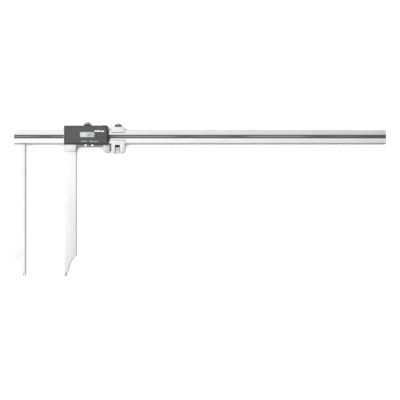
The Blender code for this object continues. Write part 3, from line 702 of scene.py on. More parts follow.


# Each side tone in these finishes is painted shade on the faces that look sideways.
BEAM_STEEL = WorkedSteel("beam_ground_steel", (0.93, 0.93, 0.925), roughness=0.27, painted_side_tone=0.2)
JAW_STEEL = WorkedSteel("jaw_ground_steel", (0.975, 0.975, 0.975), Axis.Y, 0.08, 0.30, 0.05, 0.15)
KNOB_STEEL = WorkedSteel("turned_knob_steel", (0.82, 0.82, 0.81), None, 0.10, 0.30, 0.10, 0.35)
NUT_STEEL = WorkedSteel("turned_nut_steel", (0.86, 0.86, 0.85), None, 0.10, 0.26, 0.10, 0.8)
# Painted dark reflection: the knobs' knurled rims are coloured near black.
KNURL_PAINTED_DARK = WorkedSteel(
    "knurl_steel_painted_dark", (0.17, 0.17, 0.17), None, 0.10, 0.36, 0.20, 0.8, edge_tone=1.9
)
SCREW_STEEL = WorkedSteel("screw_steel_finish", (0.62, 0.62, 0.61), None, 0.10, 0.26, 0.12, 0.9)
CELL_STEEL = WorkedSteel("cell_case_steel", (0.78, 0.78, 0.77), Axis.X, 0.12, 0.2, 0.06, 0.9)
PLATE_STEEL = WorkedSteel("base_plate_steel", (0.62, 0.62, 0.61), Axis.X, 0.2, 0.35, 0.1, 0.8)
BRASS = WorkedSteel("drawn_brass", (0.83, 0.62, 0.28), Axis.X, 0.10, 0.28, 0.10, 0.85, 1.1, 0.12)
HOUSING = MouldedPlastic("grey_housing_plastic", (0.044, 0.0455, 0.0465), warmth=(0.97, 0.99, 1.04))
LID_PLASTIC = MouldedPlastic("grey_lid_plastic", (0.041, 0.0425, 0.043), grain=0.14)
BUTTON_PLASTIC = MouldedPlastic(
    "white_button_plastic", (0.88, 0.89, 0.89), 0.30, 0.3, 0.004, 0.02, 1.03, 0.2, painted_side_tone=1.0
)
DARK_PLASTIC = MouldedPlastic("black_moulded_plastic", (0.030, 0.030, 0.031), 0.42, 0.2)
PORT_RUBBER = MouldedPlastic("black_port_rubber", (0.016, 0.016, 0.016), 0.68, 0.12, 0.02, 0.1, 1.6)
LAMINATE = PrintedBoard("green_board_laminate")
DISPLAY_FACE = DisplayFace("pale_display_face")
CLEAR_PANE = ClearPane("clear_acrylic_pane")
ZEBRA = ZebraRubber("zebra_strip_rubber")
WHITE_INK = Print("white_label_ink", (0.80, 0.81, 0.81))
PALE_INK = Print("pale_label_ink", (0.42, 0.44, 0.45))
SEGMENT_INK = Print("dark_display_segment", (0.040, 0.046, 0.048))


# ---------------------------------------------------------------------------------------------
# Geometry node tools
# ---------------------------------------------------------------------------------------------


class GeometryTool(Graph):
    """A Geometry Nodes tree with named inputs that turns a guide mesh into a plain mesh."""

    def __init__(self, name: str, inputs: Mapping[str, str]) -> None:
        """Makes the tree.

        Args:
            name: the tree's name.
            inputs: the socket type of each named input after the guide.
        """
        super().__init__(bpy.data.node_groups.new(name, "GeometryNodeTree"))
        interface = self.tree.interface
        interface.new_socket("Guide", in_out="INPUT", socket_type="NodeSocketGeometry")
        self.identifiers = {}
        for label, kind in {**inputs, "Finish": "NodeSocketMaterial"}.items():
            socket = interface.new_socket(label, in_out="INPUT", socket_type=kind)
            self.identifiers[label] = socket.identifier
        interface.new_socket("Result", in_out="OUTPUT", socket_type="NodeSocketGeometry")
        self.given = self.node("NodeGroupInput")
        self.index = self.node("GeometryNodeInputIndex")

    def end(self, shape: Signal) -> None:
        """Realizes the shape, gives it its finish and ends the tree."""
        real = self.node("GeometryNodeRealizeInstances", None, {0: shape})
        inputs = {"Geometry": real, "Material": self.given.out("Finish")}
        coated = self.node("GeometryNodeSetMaterial", None, inputs)
        self.node("NodeGroupOutput", None, {0: coated})

    def lathe(self, rings: Number, segments: Signal) -> tuple[Signal, Signal, Signal]:
        """A grid to be wrapped round an axis.

        Args:
            rings: the number of rings along the axis.
            segments: the number of faces round it.

        Returns:
            The grid, each point's ring number, and its angle.
        """
        inputs = {"Vertices X": segments + 1, "Vertices Y": rings}
        grid = self.node("GeometryNodeMeshGrid", None, inputs)
        column = (self.index / rings).calc("FLOOR")
        ring = self.index - column * rings
        return grid, ring, column / segments * math.tau

    def wrap(self, grid: Signal, angle: Signal, radius: Signal, height: Signal) -> Signal:
        """Wraps the grid round +Z and closes its seam and its ends."""
        place = self.join(radius * angle.calc("COSINE"), radius * angle.calc("SINE"), height)
        moved = self.node("GeometryNodeSetPosition", None, {"Geometry": grid, "Position": place})
        inputs = {"Geometry": moved, "Distance": MERGE_DISTANCE}
        return self.node("GeometryNodeMergeByDistance", None, inputs)

    def make(
        self, name: str, guide: bpy.types.Mesh, values: Mapping[str, object]
    ) -> bpy.types.Object:
        """Runs the tree on a guide mesh.

        Args:
            name: the new object's name.
            guide: the mesh that the tree reads.
            values: a value for each named input.

        Returns:
            An object with the result as its plain mesh.
        """
        piece = new_object(name, guide)
        modifier = piece.modifiers.new("tool", "NODES")
        modifier.node_group = self.tree
        for label, value in values.items():
            modifier[self.identifiers[label]] = value
        bake_modifiers(piece)
        return piece


class TurningTool(GeometryTool):
    """Turns a profile about +Z, with its marked rings shaped as a socket or a knurl.

    The guide is the profile: each point's x is the radius, z the height, and y is 0 for a plain
    ring and 1 for a shaped one.
    """

    def __init__(self, rim: Rim) -> None:
        """Builds the tree for that kind of rim."""
        inputs = {"Rings": "NodeSocketInt", "Segments": "NodeSocketInt", "Depth": "NodeSocketFloat"}
        super().__init__(f"turning, {rim.value}", inputs)
        rings = self.given.out("Rings")
        segments = self.given.out("Segments")
        grid, ring, angle = self.lathe(rings, segments)
        settings = {"data_type": "FLOAT_VECTOR", "domain": "POINT"}
        position = self.node("GeometryNodeInputPosition")
        inputs = {"Geometry": self.given, "Value": position, "Index": ring + 0.25}
        radius, shaped, height = self.split(self.node("GeometryNodeSampleIndex", settings, inputs))
        if rim is Rim.SOCKET:
            half = math.pi / 6
            change = math.cos(half) / ((angle % (2 * half)) - half).calc("COSINE") - 1
            radius = radius * (1 + shaped * change)
        else:
            tooth = abs((angle / math.tau * segments / FACES_PER_TOOTH) % 1 - 0.5) * 2
            radius = radius - shaped * self.given.out("Depth") * (tooth.ramp(0.1, 0.9))
        self.end(self.wrap(grid, angle, radius, height))


class ThreadTool(GeometryTool):
    """Cuts a helical thread of the ISO form in a bar along +Z, from 0 to its length."""

    ROWS_PER_PITCH = 5

    def __init__(self) -> None:
        """Builds the tree."""
        inputs = {
            "Radius": "NodeSocketFloat",
            "Length": "NodeSocketFloat",
            "Pitch": "NodeSocketFloat",
            "Depth": "NodeSocketFloat",
            "Segments": "NodeSocketInt",
        }
        super().__init__("thread", inputs)
        given = self.given
        turns = given.out("Length") / given.out("Pitch")
        rings = (turns * self.ROWS_PER_PITCH).calc("FLOOR") + 3
        grid, ring, angle = self.lathe(rings, given.out("Segments"))
        share = ((ring - 1) / (rings - 3)).calc("MAXIMUM", 0.0).calc("MINIMUM", 1.0)
        height = share * given.out("Length")
        phase = (height / given.out("Pitch") - angle / math.tau) % 1
        ridge = abs(phase - 0.5) * 2
        inner = ring.above(0.5) * ring.below(rings - 1.5)
        taper = share.calc("MINIMUM", 1 - share).ramp(0.0, 0.02)
        radius = given.out("Radius") - given.out("Depth") * (ridge * taper + (1 - taper))
        self.end(self.wrap(grid, angle, radius * inner, height))


class CopyTool(GeometryTool):
    """Puts a copy of a pattern on each point of the guide, by its "turn" and "stretch"."""

    def __init__(self) -> None:
        """Builds the tree."""
        super().__init__("copies", {"Pattern": "NodeSocketObject"})
        settings = {"transform_space": "ORIGINAL"}
        inputs = {"Object": self.given.out("Pattern")}
        pattern = self.node("GeometryNodeObjectInfo", settings, inputs)
        self.end(self.node("GeometryNodeInstanceOnPoints", None, {
            "Points": self.given,
            "Instance": pattern.out("Geometry"),
            "Rotation": self._attribute("turn"),
            "Scale": self._attribute("stretch"),
        }))

    def _attribute(self, name: str) -> Signal:
        """A vector stored on the guide's points."""
        settings = {"data_type": "FLOAT_VECTOR"}
        return self.node("GeometryNodeInputNamedAttribute", settings, {"Name": name})

    def place(
        self,
        name: str,
        pattern: bpy.types.Object,
        spots: Sequence["Spot"],
        finish: Finish,
    ) -> bpy.types.Object:
        """Makes one object of copies, and removes the pattern.

        Args:
            name: the new object's name.
            pattern: the shape to repeat, made about the origin.
            spots: where the copies go.
            finish: what they are finished in.

        Returns:
            The copies as one plain mesh.
        """
        guide = bpy.data.meshes.new(name)
        guide.from_pydata([tuple(spot.place) for spot in spots], [], [])
        for label in ("turn", "stretch"):
            layer = guide.attributes.new(label, "FLOAT_VECTOR", "POINT")
            for item, spot in zip(layer.data, spots):
                item.vector = getattr(spot, label)
        piece = self.make(name, guide, {"Pattern": pattern, "Finish": material_of(finish)})
        bpy.data.objects.remove(pattern, do_unlink=True)
        return piece


@dataclass(frozen=True)
class Spot:
    """Where a copy goes, how it is turned and how it is stretched."""

    place: Sequence[float]
    turn: tuple[float, float, float] = UNTURNED
    stretch: tuple[float, float, float] = (1.0, 1.0, 1.0)


# ---------------------------------------------------------------------------------------------
# Mesh work
# ---------------------------------------------------------------------------------------------


Profile = Sequence[tuple[float, float, float]]


def middle_of(node: str) -> Vector:
    """The middle of a CAD node's box."""
    low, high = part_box(node)
    return (low + high) / 2


def size_of(node: str) -> Vector:
    """The three sides of a CAD node's box."""
    low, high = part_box(node)
    return high - low


def left_end(node: str) -> Vector:
    """The middle of the left-hand face of a CAD node's box."""
    middle = middle_of(node)
    return Vector((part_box(node)[0].x, middle.y, middle.z))


def new_object(name: str, data: bpy.types.ID) -> bpy.types.Object:
    """Adds a mesh, curve, light or camera to the scene as an object."""
    piece = bpy.data.objects.new(name, data)
    bpy.context.scene.collection.objects.link(piece)
    return piece


def evaluated_mesh(piece: bpy.types.Object) -> bpy.types.Mesh:
    """A plain mesh of an object as it looks, with its modifiers applied."""
    graph = bpy.context.evaluated_depsgraph_get()
    graph.update()
    return bpy.data.meshes.new_from_object(piece.evaluated_get(graph), depsgraph=graph)


def bake_modifiers(piece: bpy.types.Object) -> None:
    """Makes an object's modifiers part of its mesh."""
    mesh = evaluated_mesh(piece)
    piece.modifiers.clear()
    piece.data = mesh


def smooth_by_angle(piece: bpy.types.Object, degrees: float = 32.0) -> None:
    """Shades an object smooth, except across edges sharper than the angle."""
    piece.data.shade_smooth()
    piece.data.set_sharp_from_angle(angle=math.radians(degrees))


def face_outwards(mesh: bpy.types.Mesh) -> None:
    """Merges a mesh's doubles and points its faces outwards."""
    shape = bmesh.new()
    shape.from_mesh(mesh)
    bmesh.ops.remove_doubles(shape, verts=shape.verts, dist=MERGE_DISTANCE)
    bmesh.ops.recalc_face_normals(shape, faces=shape.faces)
    shape.to_mesh(mesh)
    shape.free()


def mesh_from(shape: bmesh.types.BMesh, name: str) -> bpy.types.Mesh:
    """Turns a bmesh into a mesh with its faces outwards."""
    mesh = bpy.data.meshes.new(name)
    shape.to_mesh(mesh)
    shape.free()
    face_outwards(mesh)
    return mesh


def prism(outline: Sequence[tuple[float, float]], low: float, high: float) -> bmesh.types.BMesh:
    """Extrudes an (x, y) outline from one height to another."""
    shape = bmesh.new()
    base = shape.faces.new([shape.verts.new((x, y, low)) for x, y in outline])
    raised = bmesh.ops.extrude_face_region(shape, geom=[base])["geom"]
    corners = [item for item in raised if isinstance(item, bmesh.types.BMVert)]
    bmesh.ops.translate(shape, vec=(0, 0, high - low), verts=corners)
    return shape


def profile_mesh(points: Profile) -> bpy.types.Mesh:
    """A turning profile from (radius, height, shaped) points."""
    mesh = bpy.data.meshes.new("profile")
    mesh.from_pydata([(radius, shaped, height) for radius, height, shaped in points], [], [])
    return mesh


@dataclass
class Toolbox:
    """The geometry tools that the assemblies share."""

    socket: TurningTool = field(default_factory=lambda: TurningTool(Rim.SOCKET))
    knurl: TurningTool = field(default_factory=lambda: TurningTool(Rim.KNURL))
    thread: ThreadTool = field(default_factory=ThreadTool)
    copies: CopyTool = field(default_factory=CopyTool)

    def turn(
        self,
        name: str,
        points: Profile,
        finish: Finish,
        segments: int = 48,
        depth: float = 0.0,
    ) -> bpy.types.Object:
        """Turns a profile about +Z.

        Args:
            name: the new object's name.
            points: (radius, height, shaped) along the profile.
            finish: what the piece is finished in.
            segments: the number of faces round it.
            depth: the depth of a knurl, or 0 where shaped rings are a hexagonal socket.

        Returns:
            The turned piece.
        """
        tool = self.knurl if depth else self.socket
        piece = tool.make(name, profile_mesh(points), {
            "Rings": len(points),
            "Segments": segments,
            "Depth": depth,
            "Finish": material_of(finish),
        })
        face_outwards(piece.data)
        smooth_by_angle(piece)
        return piece


@dataclass
class Workshop:
    """The loaded frame with what every assembly needs to make and place its pieces."""

    frame: Mapping[str, object]
    tools: Toolbox = field(default_factory=Toolbox)

    @property
    def beam_low(self) -> Vector:
        """The datum on the beam: the fixed jaw's measuring face and the beam's lower edge."""
        return Vector((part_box("fixed_jaw")[1].x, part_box("beam")[0].y, 0.0))

    @property
    def slider_low(self) -> Vector:
        """The datum on the slider: the movable jaw's measuring face and the beam's lower edge."""
        return Vector((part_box("movable_jaw")[0].x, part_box("beam")[0].y, 0.0))

    def refine(
        self,
        node: str,
        finish: Finish,
        body: Body,
        slot: Slot,
        width: float,
        segments: int = 2,
        chamfers: Sequence[tuple[float, float, float]] = (),
    ) -> None:
        """Stands a copy in a CAD node's place, with flat faces joined and edges broken.

        Args:
            node: the CAD node.
            finish: what the piece is finished in.
            body: the body that it rides on.
            slot: the record's slot that it stands for; not used.
            width: how far each edge is broken.
            segments: the number of faces across a broken edge.
            chamfers: the y and z of edges along X that get a chamfer, and its width.
        """
        mesh = self.frame["nodes"][node].data.copy()
        mesh.materials.clear()
        mesh.materials.append(material_of(finish))
        shape = bmesh.new()
        shape.from_mesh(mesh)
        bmesh.ops.remove_doubles(shape, verts=shape.verts, dist=MERGE_DISTANCE)
        flat = {"angle_limit": FLAT_ANGLE, "verts": shape.verts, "edges": shape.edges}
        bmesh.ops.dissolve_limit(shape, **flat)
        for y, z, wide in chamfers:
            edges = [edge for edge in shape.edges if self._lies_at(edge, y, z)]
            bmesh.ops.bevel(shape, geom=edges, offset=wide, segments=1, profile=0.5, affect="EDGES")
        for face in shape.faces:
            face.material_index = 0
            face.smooth = True
        for edge in shape.edges:
            edge.smooth = True
        shape.to_mesh(mesh)
        shape.free()
        piece = new_object(f"{node}_finished", mesh)
        bevel = piece.modifiers.new("broken_edges", "BEVEL")
        bevel.width = width
        bevel.segments = segments
        bevel.limit_method = "ANGLE"
        bevel.angle_limit = BEVEL_ANGLE
        bevel.harden_normals = True
        bevel.miter_outer = "MITER_ARC"
        bake_modifiers(piece)
        self.hand_over(piece, body, slot, node)

    @staticmethod
    def _lies_at(edge: bmesh.types.BMEdge, y: float, z: float) -> bool:
        """Whether both ends of an edge are at that y and z."""
        return all(
            abs(end.co.y - y) < SAME_LINE and abs(end.co.z - z) < SAME_LINE for end in edge.verts
        )

    def hand_over(self, piece: bpy.types.Object, body: Body, slot: Slot, *nodes: str) -> None:
        """Lets a finished piece ride on its body, and hides the CAD nodes it stands for."""
        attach(piece, body.value)
        if nodes:
            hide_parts(*nodes)
        triangles = sum(len(face.vertices) - 2 for face in piece.data.polygons)
        log.info("%s: %d triangles on %s", piece.name, triangles, body.value)

    def dress(self, finish: Finish, *nodes: str) -> None:
        """Gives CAD nodes that stay as they are their finish."""
        for node in nodes:
            piece = self.frame["nodes"][node]
            piece.data.materials.clear()
            piece.data.materials.append(material_of(finish))
            log.info("%s keeps its shape in %s", node, finish.name)

    def lettering(
        self,
        name: str,
        words: str,
        height: float,
        place: Vector,
        finish: Finish,
        weight: float = 0.0,
    ) -> bpy.types.Object:
        """Lays thin printed words on a face that looks along +Z.

        Args:
            name: the new object's name.
            words: what they say.
            height: the letters' size.
            place: the words' middle.
            finish: the ink.
            weight: how much bolder than plain its strokes are.

        Returns:
            The words as a plain mesh.
        """
        curve = bpy.data.curves.new(name, "FONT")
        curve.body = words
        curve.size = height
        curve.extrude = INK_HALF
        curve.offset = weight
        curve.resolution_u = 3
        curve.align_x = "CENTER"
        curve.align_y = "CENTER"
        text = new_object(name, curve)
        mesh = evaluated_mesh(text)
        bpy.data.objects.remove(text, do_unlink=True)
        mesh.materials.clear()
        mesh.materials.append(material_of(finish))
        mesh.transform(Matrix.Translation(place))
        return new_object(name, mesh)


# ---------------------------------------------------------------------------------------------
# Fasteners
# ---------------------------------------------------------------------------------------------


@dataclass(frozen=True)
class SocketScrew:
    """A screw along +Z from its head's outer face, with a hexagonal socket."""

    head_radius: float
    head_height: float
    shank_radius: float
    length: float

    def profile(self) -> Profile:
        """The screw's turning profile, from the socket's floor to the screw's tip."""
        socket = 0.56 * self.head_radius
        depth = 0.62 * self.head_height
        edge = 0.10 * self.head_radius
        tip = 0.3 * self.shank_radius
        return [
            (0.0, depth, 0.0),
            (socket * 0.94, depth, 1.0),
            (socket, 0.9 * depth, 1.0),
            (socket, 0.12 * edge, 1.0),
            (socket + 0.4 * edge, 0.0, 0.4),
            (self.head_radius - edge, 0.0, 0.0),
            (self.head_radius - 0.3 * edge, 0.3 * edge, 0.0),
            (self.head_radius, edge, 0.0),
            (self.head_radius, self.head_height, 0.0),
            (self.shank_radius, self.head_height, 0.0),
            (self.shank_radius, self.length - tip, 0.0),
            (self.shank_radius - tip, self.length, 0.0),
            (0.0, self.length, 0.0),
        ]


def pin_profile(radius: float, length: float) -> Profile:
    """The turning profile of a plain pin with rounded ends and a centre mark."""
    edge = 0.16 * radius
    mark = 0.2 * radius
    return [
        (0.0, mark, 0.0),
        (mark, 0.0, 0.0),
        (radius - edge, 0.0, 0.0),
        (radius - 0.3 * edge, 0.3 * edge, 0.0),
        (radius, edge, 0.0),
        (radius, length - edge, 0.0),
        (radius - edge, length, 0.0),
        (0.0, length, 0.0),
    ]


def set_screw_profile(radius: float, length: float) -> Profile:
    """The turning profile of a headless screw with a hexagonal socket and a cup point."""
    depth = 0.3 * length
    return [
        (0.0, depth, 0.0),
        (0.6 * radius, depth, 1.0),
        (0.62 * radius, 0.0, 1.0),
        (0.88 * radius, 0.0, 0.0),
        (radius, 0.12 * radius, 0.0),
        (radius, length - 0.5 * radius, 0.0),
        (0.5 * radius, length, 0.0),
        (0.0, length, 0.0),
    ]


@dataclass
class FastenerSet:
    """Identical fasteners along Z in one body, each in the place of its CAD node."""

    shop: Workshop
    name: str
    body: Body
    nodes: Sequence[str]

    def as_screws(self, shank_share: float, head_share: float, head_up: bool = False) -> None:
        """Makes them socket screws.

        Args:
            shank_share: the shank's radius as a share of the head's.
            head_share: the head's height as a share of the screw's length.
            head_up: whether the heads look along +Z.
        """
        sides = size_of(self.nodes[0])
        radius = sides.x / 2
        screw = SocketScrew(radius, head_share * sides.z, shank_share * radius, sides.z)
        self._copy(screw.profile(), head_up)

    def as_pins(self) -> None:
        """Makes them plain pins."""
        sides = size_of(self.nodes[0])
        self._copy(pin_profile(sides.x / 2, sides.z))

    def _copy(self, profile: Profile, head_up: bool = False) -> None:
        """Turns one fastener and copies it to every node."""
        pattern = self.shop.tools.turn(
            f"{self.name}_pattern", profile, SCREW_STEEL, segments=FASTENER_SEGMENTS
        )
        turn = (math.pi, 0.0, 0.0) if head_up else UNTURNED
        spots = []
        for node in self.nodes:
            low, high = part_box(node)
            middle = middle_of(node)
            spots.append(Spot((middle.x, middle.y, high.z if head_up else low.z), turn))
        piece = self.shop.tools.copies.place(self.name, pattern, spots, SCREW_STEEL)
        smooth_by_angle(piece)
        self.shop.hand_over(piece, self.body, Slot.SCREW, *self.nodes)


@dataclass
class ThumbScrew:
    """A knurled thumb screw along Y with a bright cap over a rim painted dark, a painted dark
    reflection.

    Attributes:
        wall_top: the y of the wall that it is screwed into.
        rim_height: how much of the knob's height its knurled rim takes.
        cap: the bright part above the rim as (share of the radius, share of the height above
            the rim) points.
        shank_radius: the shank's radius.
        tip: the chamfer on the shank's end.
        rim_gap: the gap between the wall and the rim.
        neck: the radius that the rim sits on, as a share of the knob's.
        lap: how far the rim reaches into the neck.
        edge: how far the rim's edges are broken.
        teeth: the number of teeth round the rim.
        tooth_depth: the depth of a tooth.
    """

    shop: Workshop
    node: str
    body: Body
    wall_top: float
    rim_height: float
    cap: Sequence[tuple[float, float]]
    shank_radius: float = 2.5 * MM
    tip: float = 0.4 * MM
    rim_gap: float = 0.7 * MM
    neck: float = 0.82
    lap: float = 0.1 * MM
    edge: float = 0.6 * MM
    teeth: int = 44
    tooth_depth: float = 0.22 * MM

    def build(self) -> None:
        """Builds the screw with its cap, and its rim."""
        low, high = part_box(self.node)
        radius = (high.x - low.x) / 2
        middle = middle_of(self.node)
        across = Axis.Y.upon(Vector((middle.x, 0.0, middle.z)))
        base = self.wall_top + self.rim_gap
        turn = self.shop.tools.turn
        screw = turn(f"{self.node}_body", self._body(radius, low.y, base, high.y), KNOB_STEEL)
        screw.data.transform(across)
        self.shop.hand_over(screw, self.body, Slot.SCREW, self.node)
        # The rim's near-black colour is a painted dark reflection.
        rim = turn(
            f"{self.node}_knurled_rim",
            self._rim(radius, base),
            KNURL_PAINTED_DARK,
            FACES_PER_TOOTH * self.teeth,
            self.tooth_depth,
        )
        rim.data.transform(across)
        self.shop.hand_over(rim, self.body, Slot.SCREW)

    def _body(self, radius: float, foot: float, base: float, crown: float) -> Profile:
        """The profile of the shank, neck and cap, from the foot to the crown."""
        neck = self.neck * radius
        shank = self.shank_radius
        rim_top = base + self.rim_height
        cap = [(radius * out, rim_top + (crown - rim_top) * up, 0.0) for out, up in self.cap]
        return [
            (0.0, foot, 0.0),
            (shank - self.tip, foot, 0.0),
            (shank, foot + self.tip, 0.0),
            (shank, base + self.lap, 0.0),
            (neck, base + self.lap, 0.0),
            (neck, rim_top - self.lap, 0.0),
            *cap,
        ]

    def _rim(self, radius: float, base: float) -> Profile:
        """The closed profile of the knurled rim."""
        inner = self.neck * radius - self.lap
        edge = self.edge
        rim_top = base + self.rim_height
        return [
            (inner, base, 0.0),
            (radius - edge, base, 0.0),
            (radius, base + edge, 1.0),
            (radius, rim_top - 0.7 * edge, 1.0),
            (radius - edge, rim_top, 0.0),
            (inner, rim_top, 0.0),
            (inner, base, 0.0),
        ]


# ---------------------------------------------------------------------------------------------
# Sub-assemblies
# ---------------------------------------------------------------------------------------------


@dataclass
class BeamAssembly:
    """The beam with its fixed jaw, sensor strip, film and fasteners."""

    shop: Workshop
    beam_edge: float = 0.07 * MM
    jaw_edge: float = 0.42 * MM
    film_edge: float = 0.03 * MM

    def build(self) -> None:
        """Builds and dresses every piece on the beam."""
        self.shop.refine("beam", BEAM_STEEL, Body.BEAM, Slot.BEAM, self.beam_edge)
        self.shop.refine("fixed_jaw", JAW_STEEL, Body.BEAM, Slot.JAW, self.jaw_edge)
        self.build_film()
        self.build_fasteners()
        self.shop.dress(LAMINATE, "scale_strip")

    def build_film(self) -> None:
        """The dark film in the beam's groove."""
        low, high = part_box("scale_tape")
        middle = (low.y + high.y) / 2 / MM
        film = ScaleFilm("dark_scale_film", middle, low.x / MM, (high.y - low.y) / 2 / MM)
        self.shop.refine("scale_tape", film, Body.BEAM, Slot.TAPE, self.film_edge, 1)

    def build_fasteners(self) -> None:
        """The jaw's screws and dowels, and the end stop, seen from the back."""
        screws = ("jaw_screw_lower", "jaw_screw_upper")
        dowels = ("jaw_dowel_lower", "jaw_dowel_upper")
        FastenerSet(self.shop, "jaw_screws", Body.BEAM, screws).as_screws(0.54, 0.27)
        FastenerSet(self.shop, "jaw_dowels", Body.BEAM, dowels).as_pins()
        FastenerSet(self.shop, "end_stop", Body.BEAM, ("end_stop_screw",)).as_screws(0.54, 0.2)


@dataclass
class SliderAssembly:
    """The slider frame with the movable jaw, gib, lock and feed screw.

    Attributes:
        lug_width: the width of the lug at the lower rail's right-hand end, in millimetres.
        rail_painted_shade: painted shade on the lower rail under the reader, as its brightness
            beside the frame's face.
        lug_tone: the lug's brightness beside the frame's face.
        lock_rim: the height of the lock knob's rim.
        lock_cap: the stepped cap of the lock knob.
    """

    shop: Workshop
    frame_edge: float = 0.50 * MM
    jaw_edge: float = 0.42 * MM
    gib_edge: float = 0.12 * MM
    lug_width: float = 12.3
    rail_painted_shade: float = 0.36
    lug_tone: float = 0.80
    thread_pitch: float = 0.7 * MM
    thread_depth: float = 0.28 * MM
    thread_segments: int = 20
    lock_rim: float = 2.9 * MM
    lock_cap: Sequence[tuple[float, float]] = (
        (0.86, 0.02),
        (0.80, 0.10),
        (0.70, 0.40),
        (0.68, 0.80),
        (0.64, 0.92),
        (0.56, 1.0),
        (0.20, 1.0),
        (0.12, 0.94),
        (0.0, 0.94),
    )

    def build(self) -> None:
        """Builds and dresses every piece of the slider but the reader."""
        shop = self.shop
        shop.refine("slider_frame", self._steel(), Body.SLIDER, Slot.SLIDER, self.frame_edge)
        shop.refine("movable_jaw", JAW_STEEL, Body.SLIDER, Slot.JAW, self.jaw_edge)
        shop.refine("gib", BRASS, Body.SLIDER, Slot.BRASS, self.gib_edge)
        rivets = ("jaw_rivet_left", "jaw_rivet_right")
        FastenerSet(shop, "jaw_rivets", Body.SLIDER, rivets).as_pins()
        self.build_set_screws()
        self.build_feed_screw()
        shop.dress(BRASS, "lock_shoe")
        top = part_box("slider_frame")[1].y
        ThumbScrew(
            shop, "lock_screw", Body.LOCK_SCREW, top, self.lock_rim, self.lock_cap
        ).build()

    def _steel(self) -> WorkedSteel:
        """The frame's steel, with painted shade on the lower rail under the reader, and the lug
        darker than its face.
        """
        jaw_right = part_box("movable_jaw")[1].x / MM
        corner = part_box("slider_frame")[1] / MM
        below = (self.shop.slider_low.y - self.frame_edge) / MM
        lug_left = corner.x - self.lug_width
        bands = (
            # Painted shade on the lower rail, which lies under the reader.
            DarkenedBand(jaw_right, lug_left, below, corner.z + 1, self.rail_painted_shade),
            DarkenedBand(lug_left, corner.x + 1, below, corner.z + 1, self.lug_tone),
        )
        tint = (0.95, 0.95, 0.95)
        return WorkedSteel("slider_satin_steel", tint, None, 0.12, 0.34, 0.07, bands=bands)

    def build_set_screws(self) -> None:
        """The gib's set screws in the upper rail and the feed screw's in the lug."""
        for node, up in (
            ("gib_screw_left", True),
            ("gib_screw_right", True),
            ("feed_lock_screw", False),
        ):
            low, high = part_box(node)
            middle = middle_of(node)
            along = [
                (out, high.y - depth if up else low.y + depth, shaped)
                for out, depth, shaped in set_screw_profile((high.x - low.x) / 2, high.y - low.y)
            ]
            piece = self.shop.tools.turn(
                f"{node}_finished", along, SCREW_STEEL, segments=FASTENER_SEGMENTS
            )
            piece.data.transform(Axis.Y.upon(Vector((middle.x, 0.0, middle.z))))
            self.shop.hand_over(piece, Body.SLIDER, Slot.SCREW, node)

    def build_feed_screw(self) -> None:
        """The fine-feed screw with its thread."""
        sides = size_of("feed_screw")
        piece = self.shop.tools.thread.make("feed_screw_threaded", profile_mesh([(0.0, 0.0, 0.0)]), {
            "Radius": sides.z / 2,
            "Length": sides.x,
            "Pitch": self.thread_pitch,
            "Depth": self.thread_depth,
            "Segments": self.thread_segments,
            "Finish": material_of(SCREW_STEEL),
        })
        face_outwards(piece.data)
        smooth_by_angle(piece, 50.0)
        piece.data.transform(Axis.X.upon(left_end("feed_screw")))
        self.shop.hand_over(piece, Body.SLIDER, Slot.SCREW, "feed_screw")


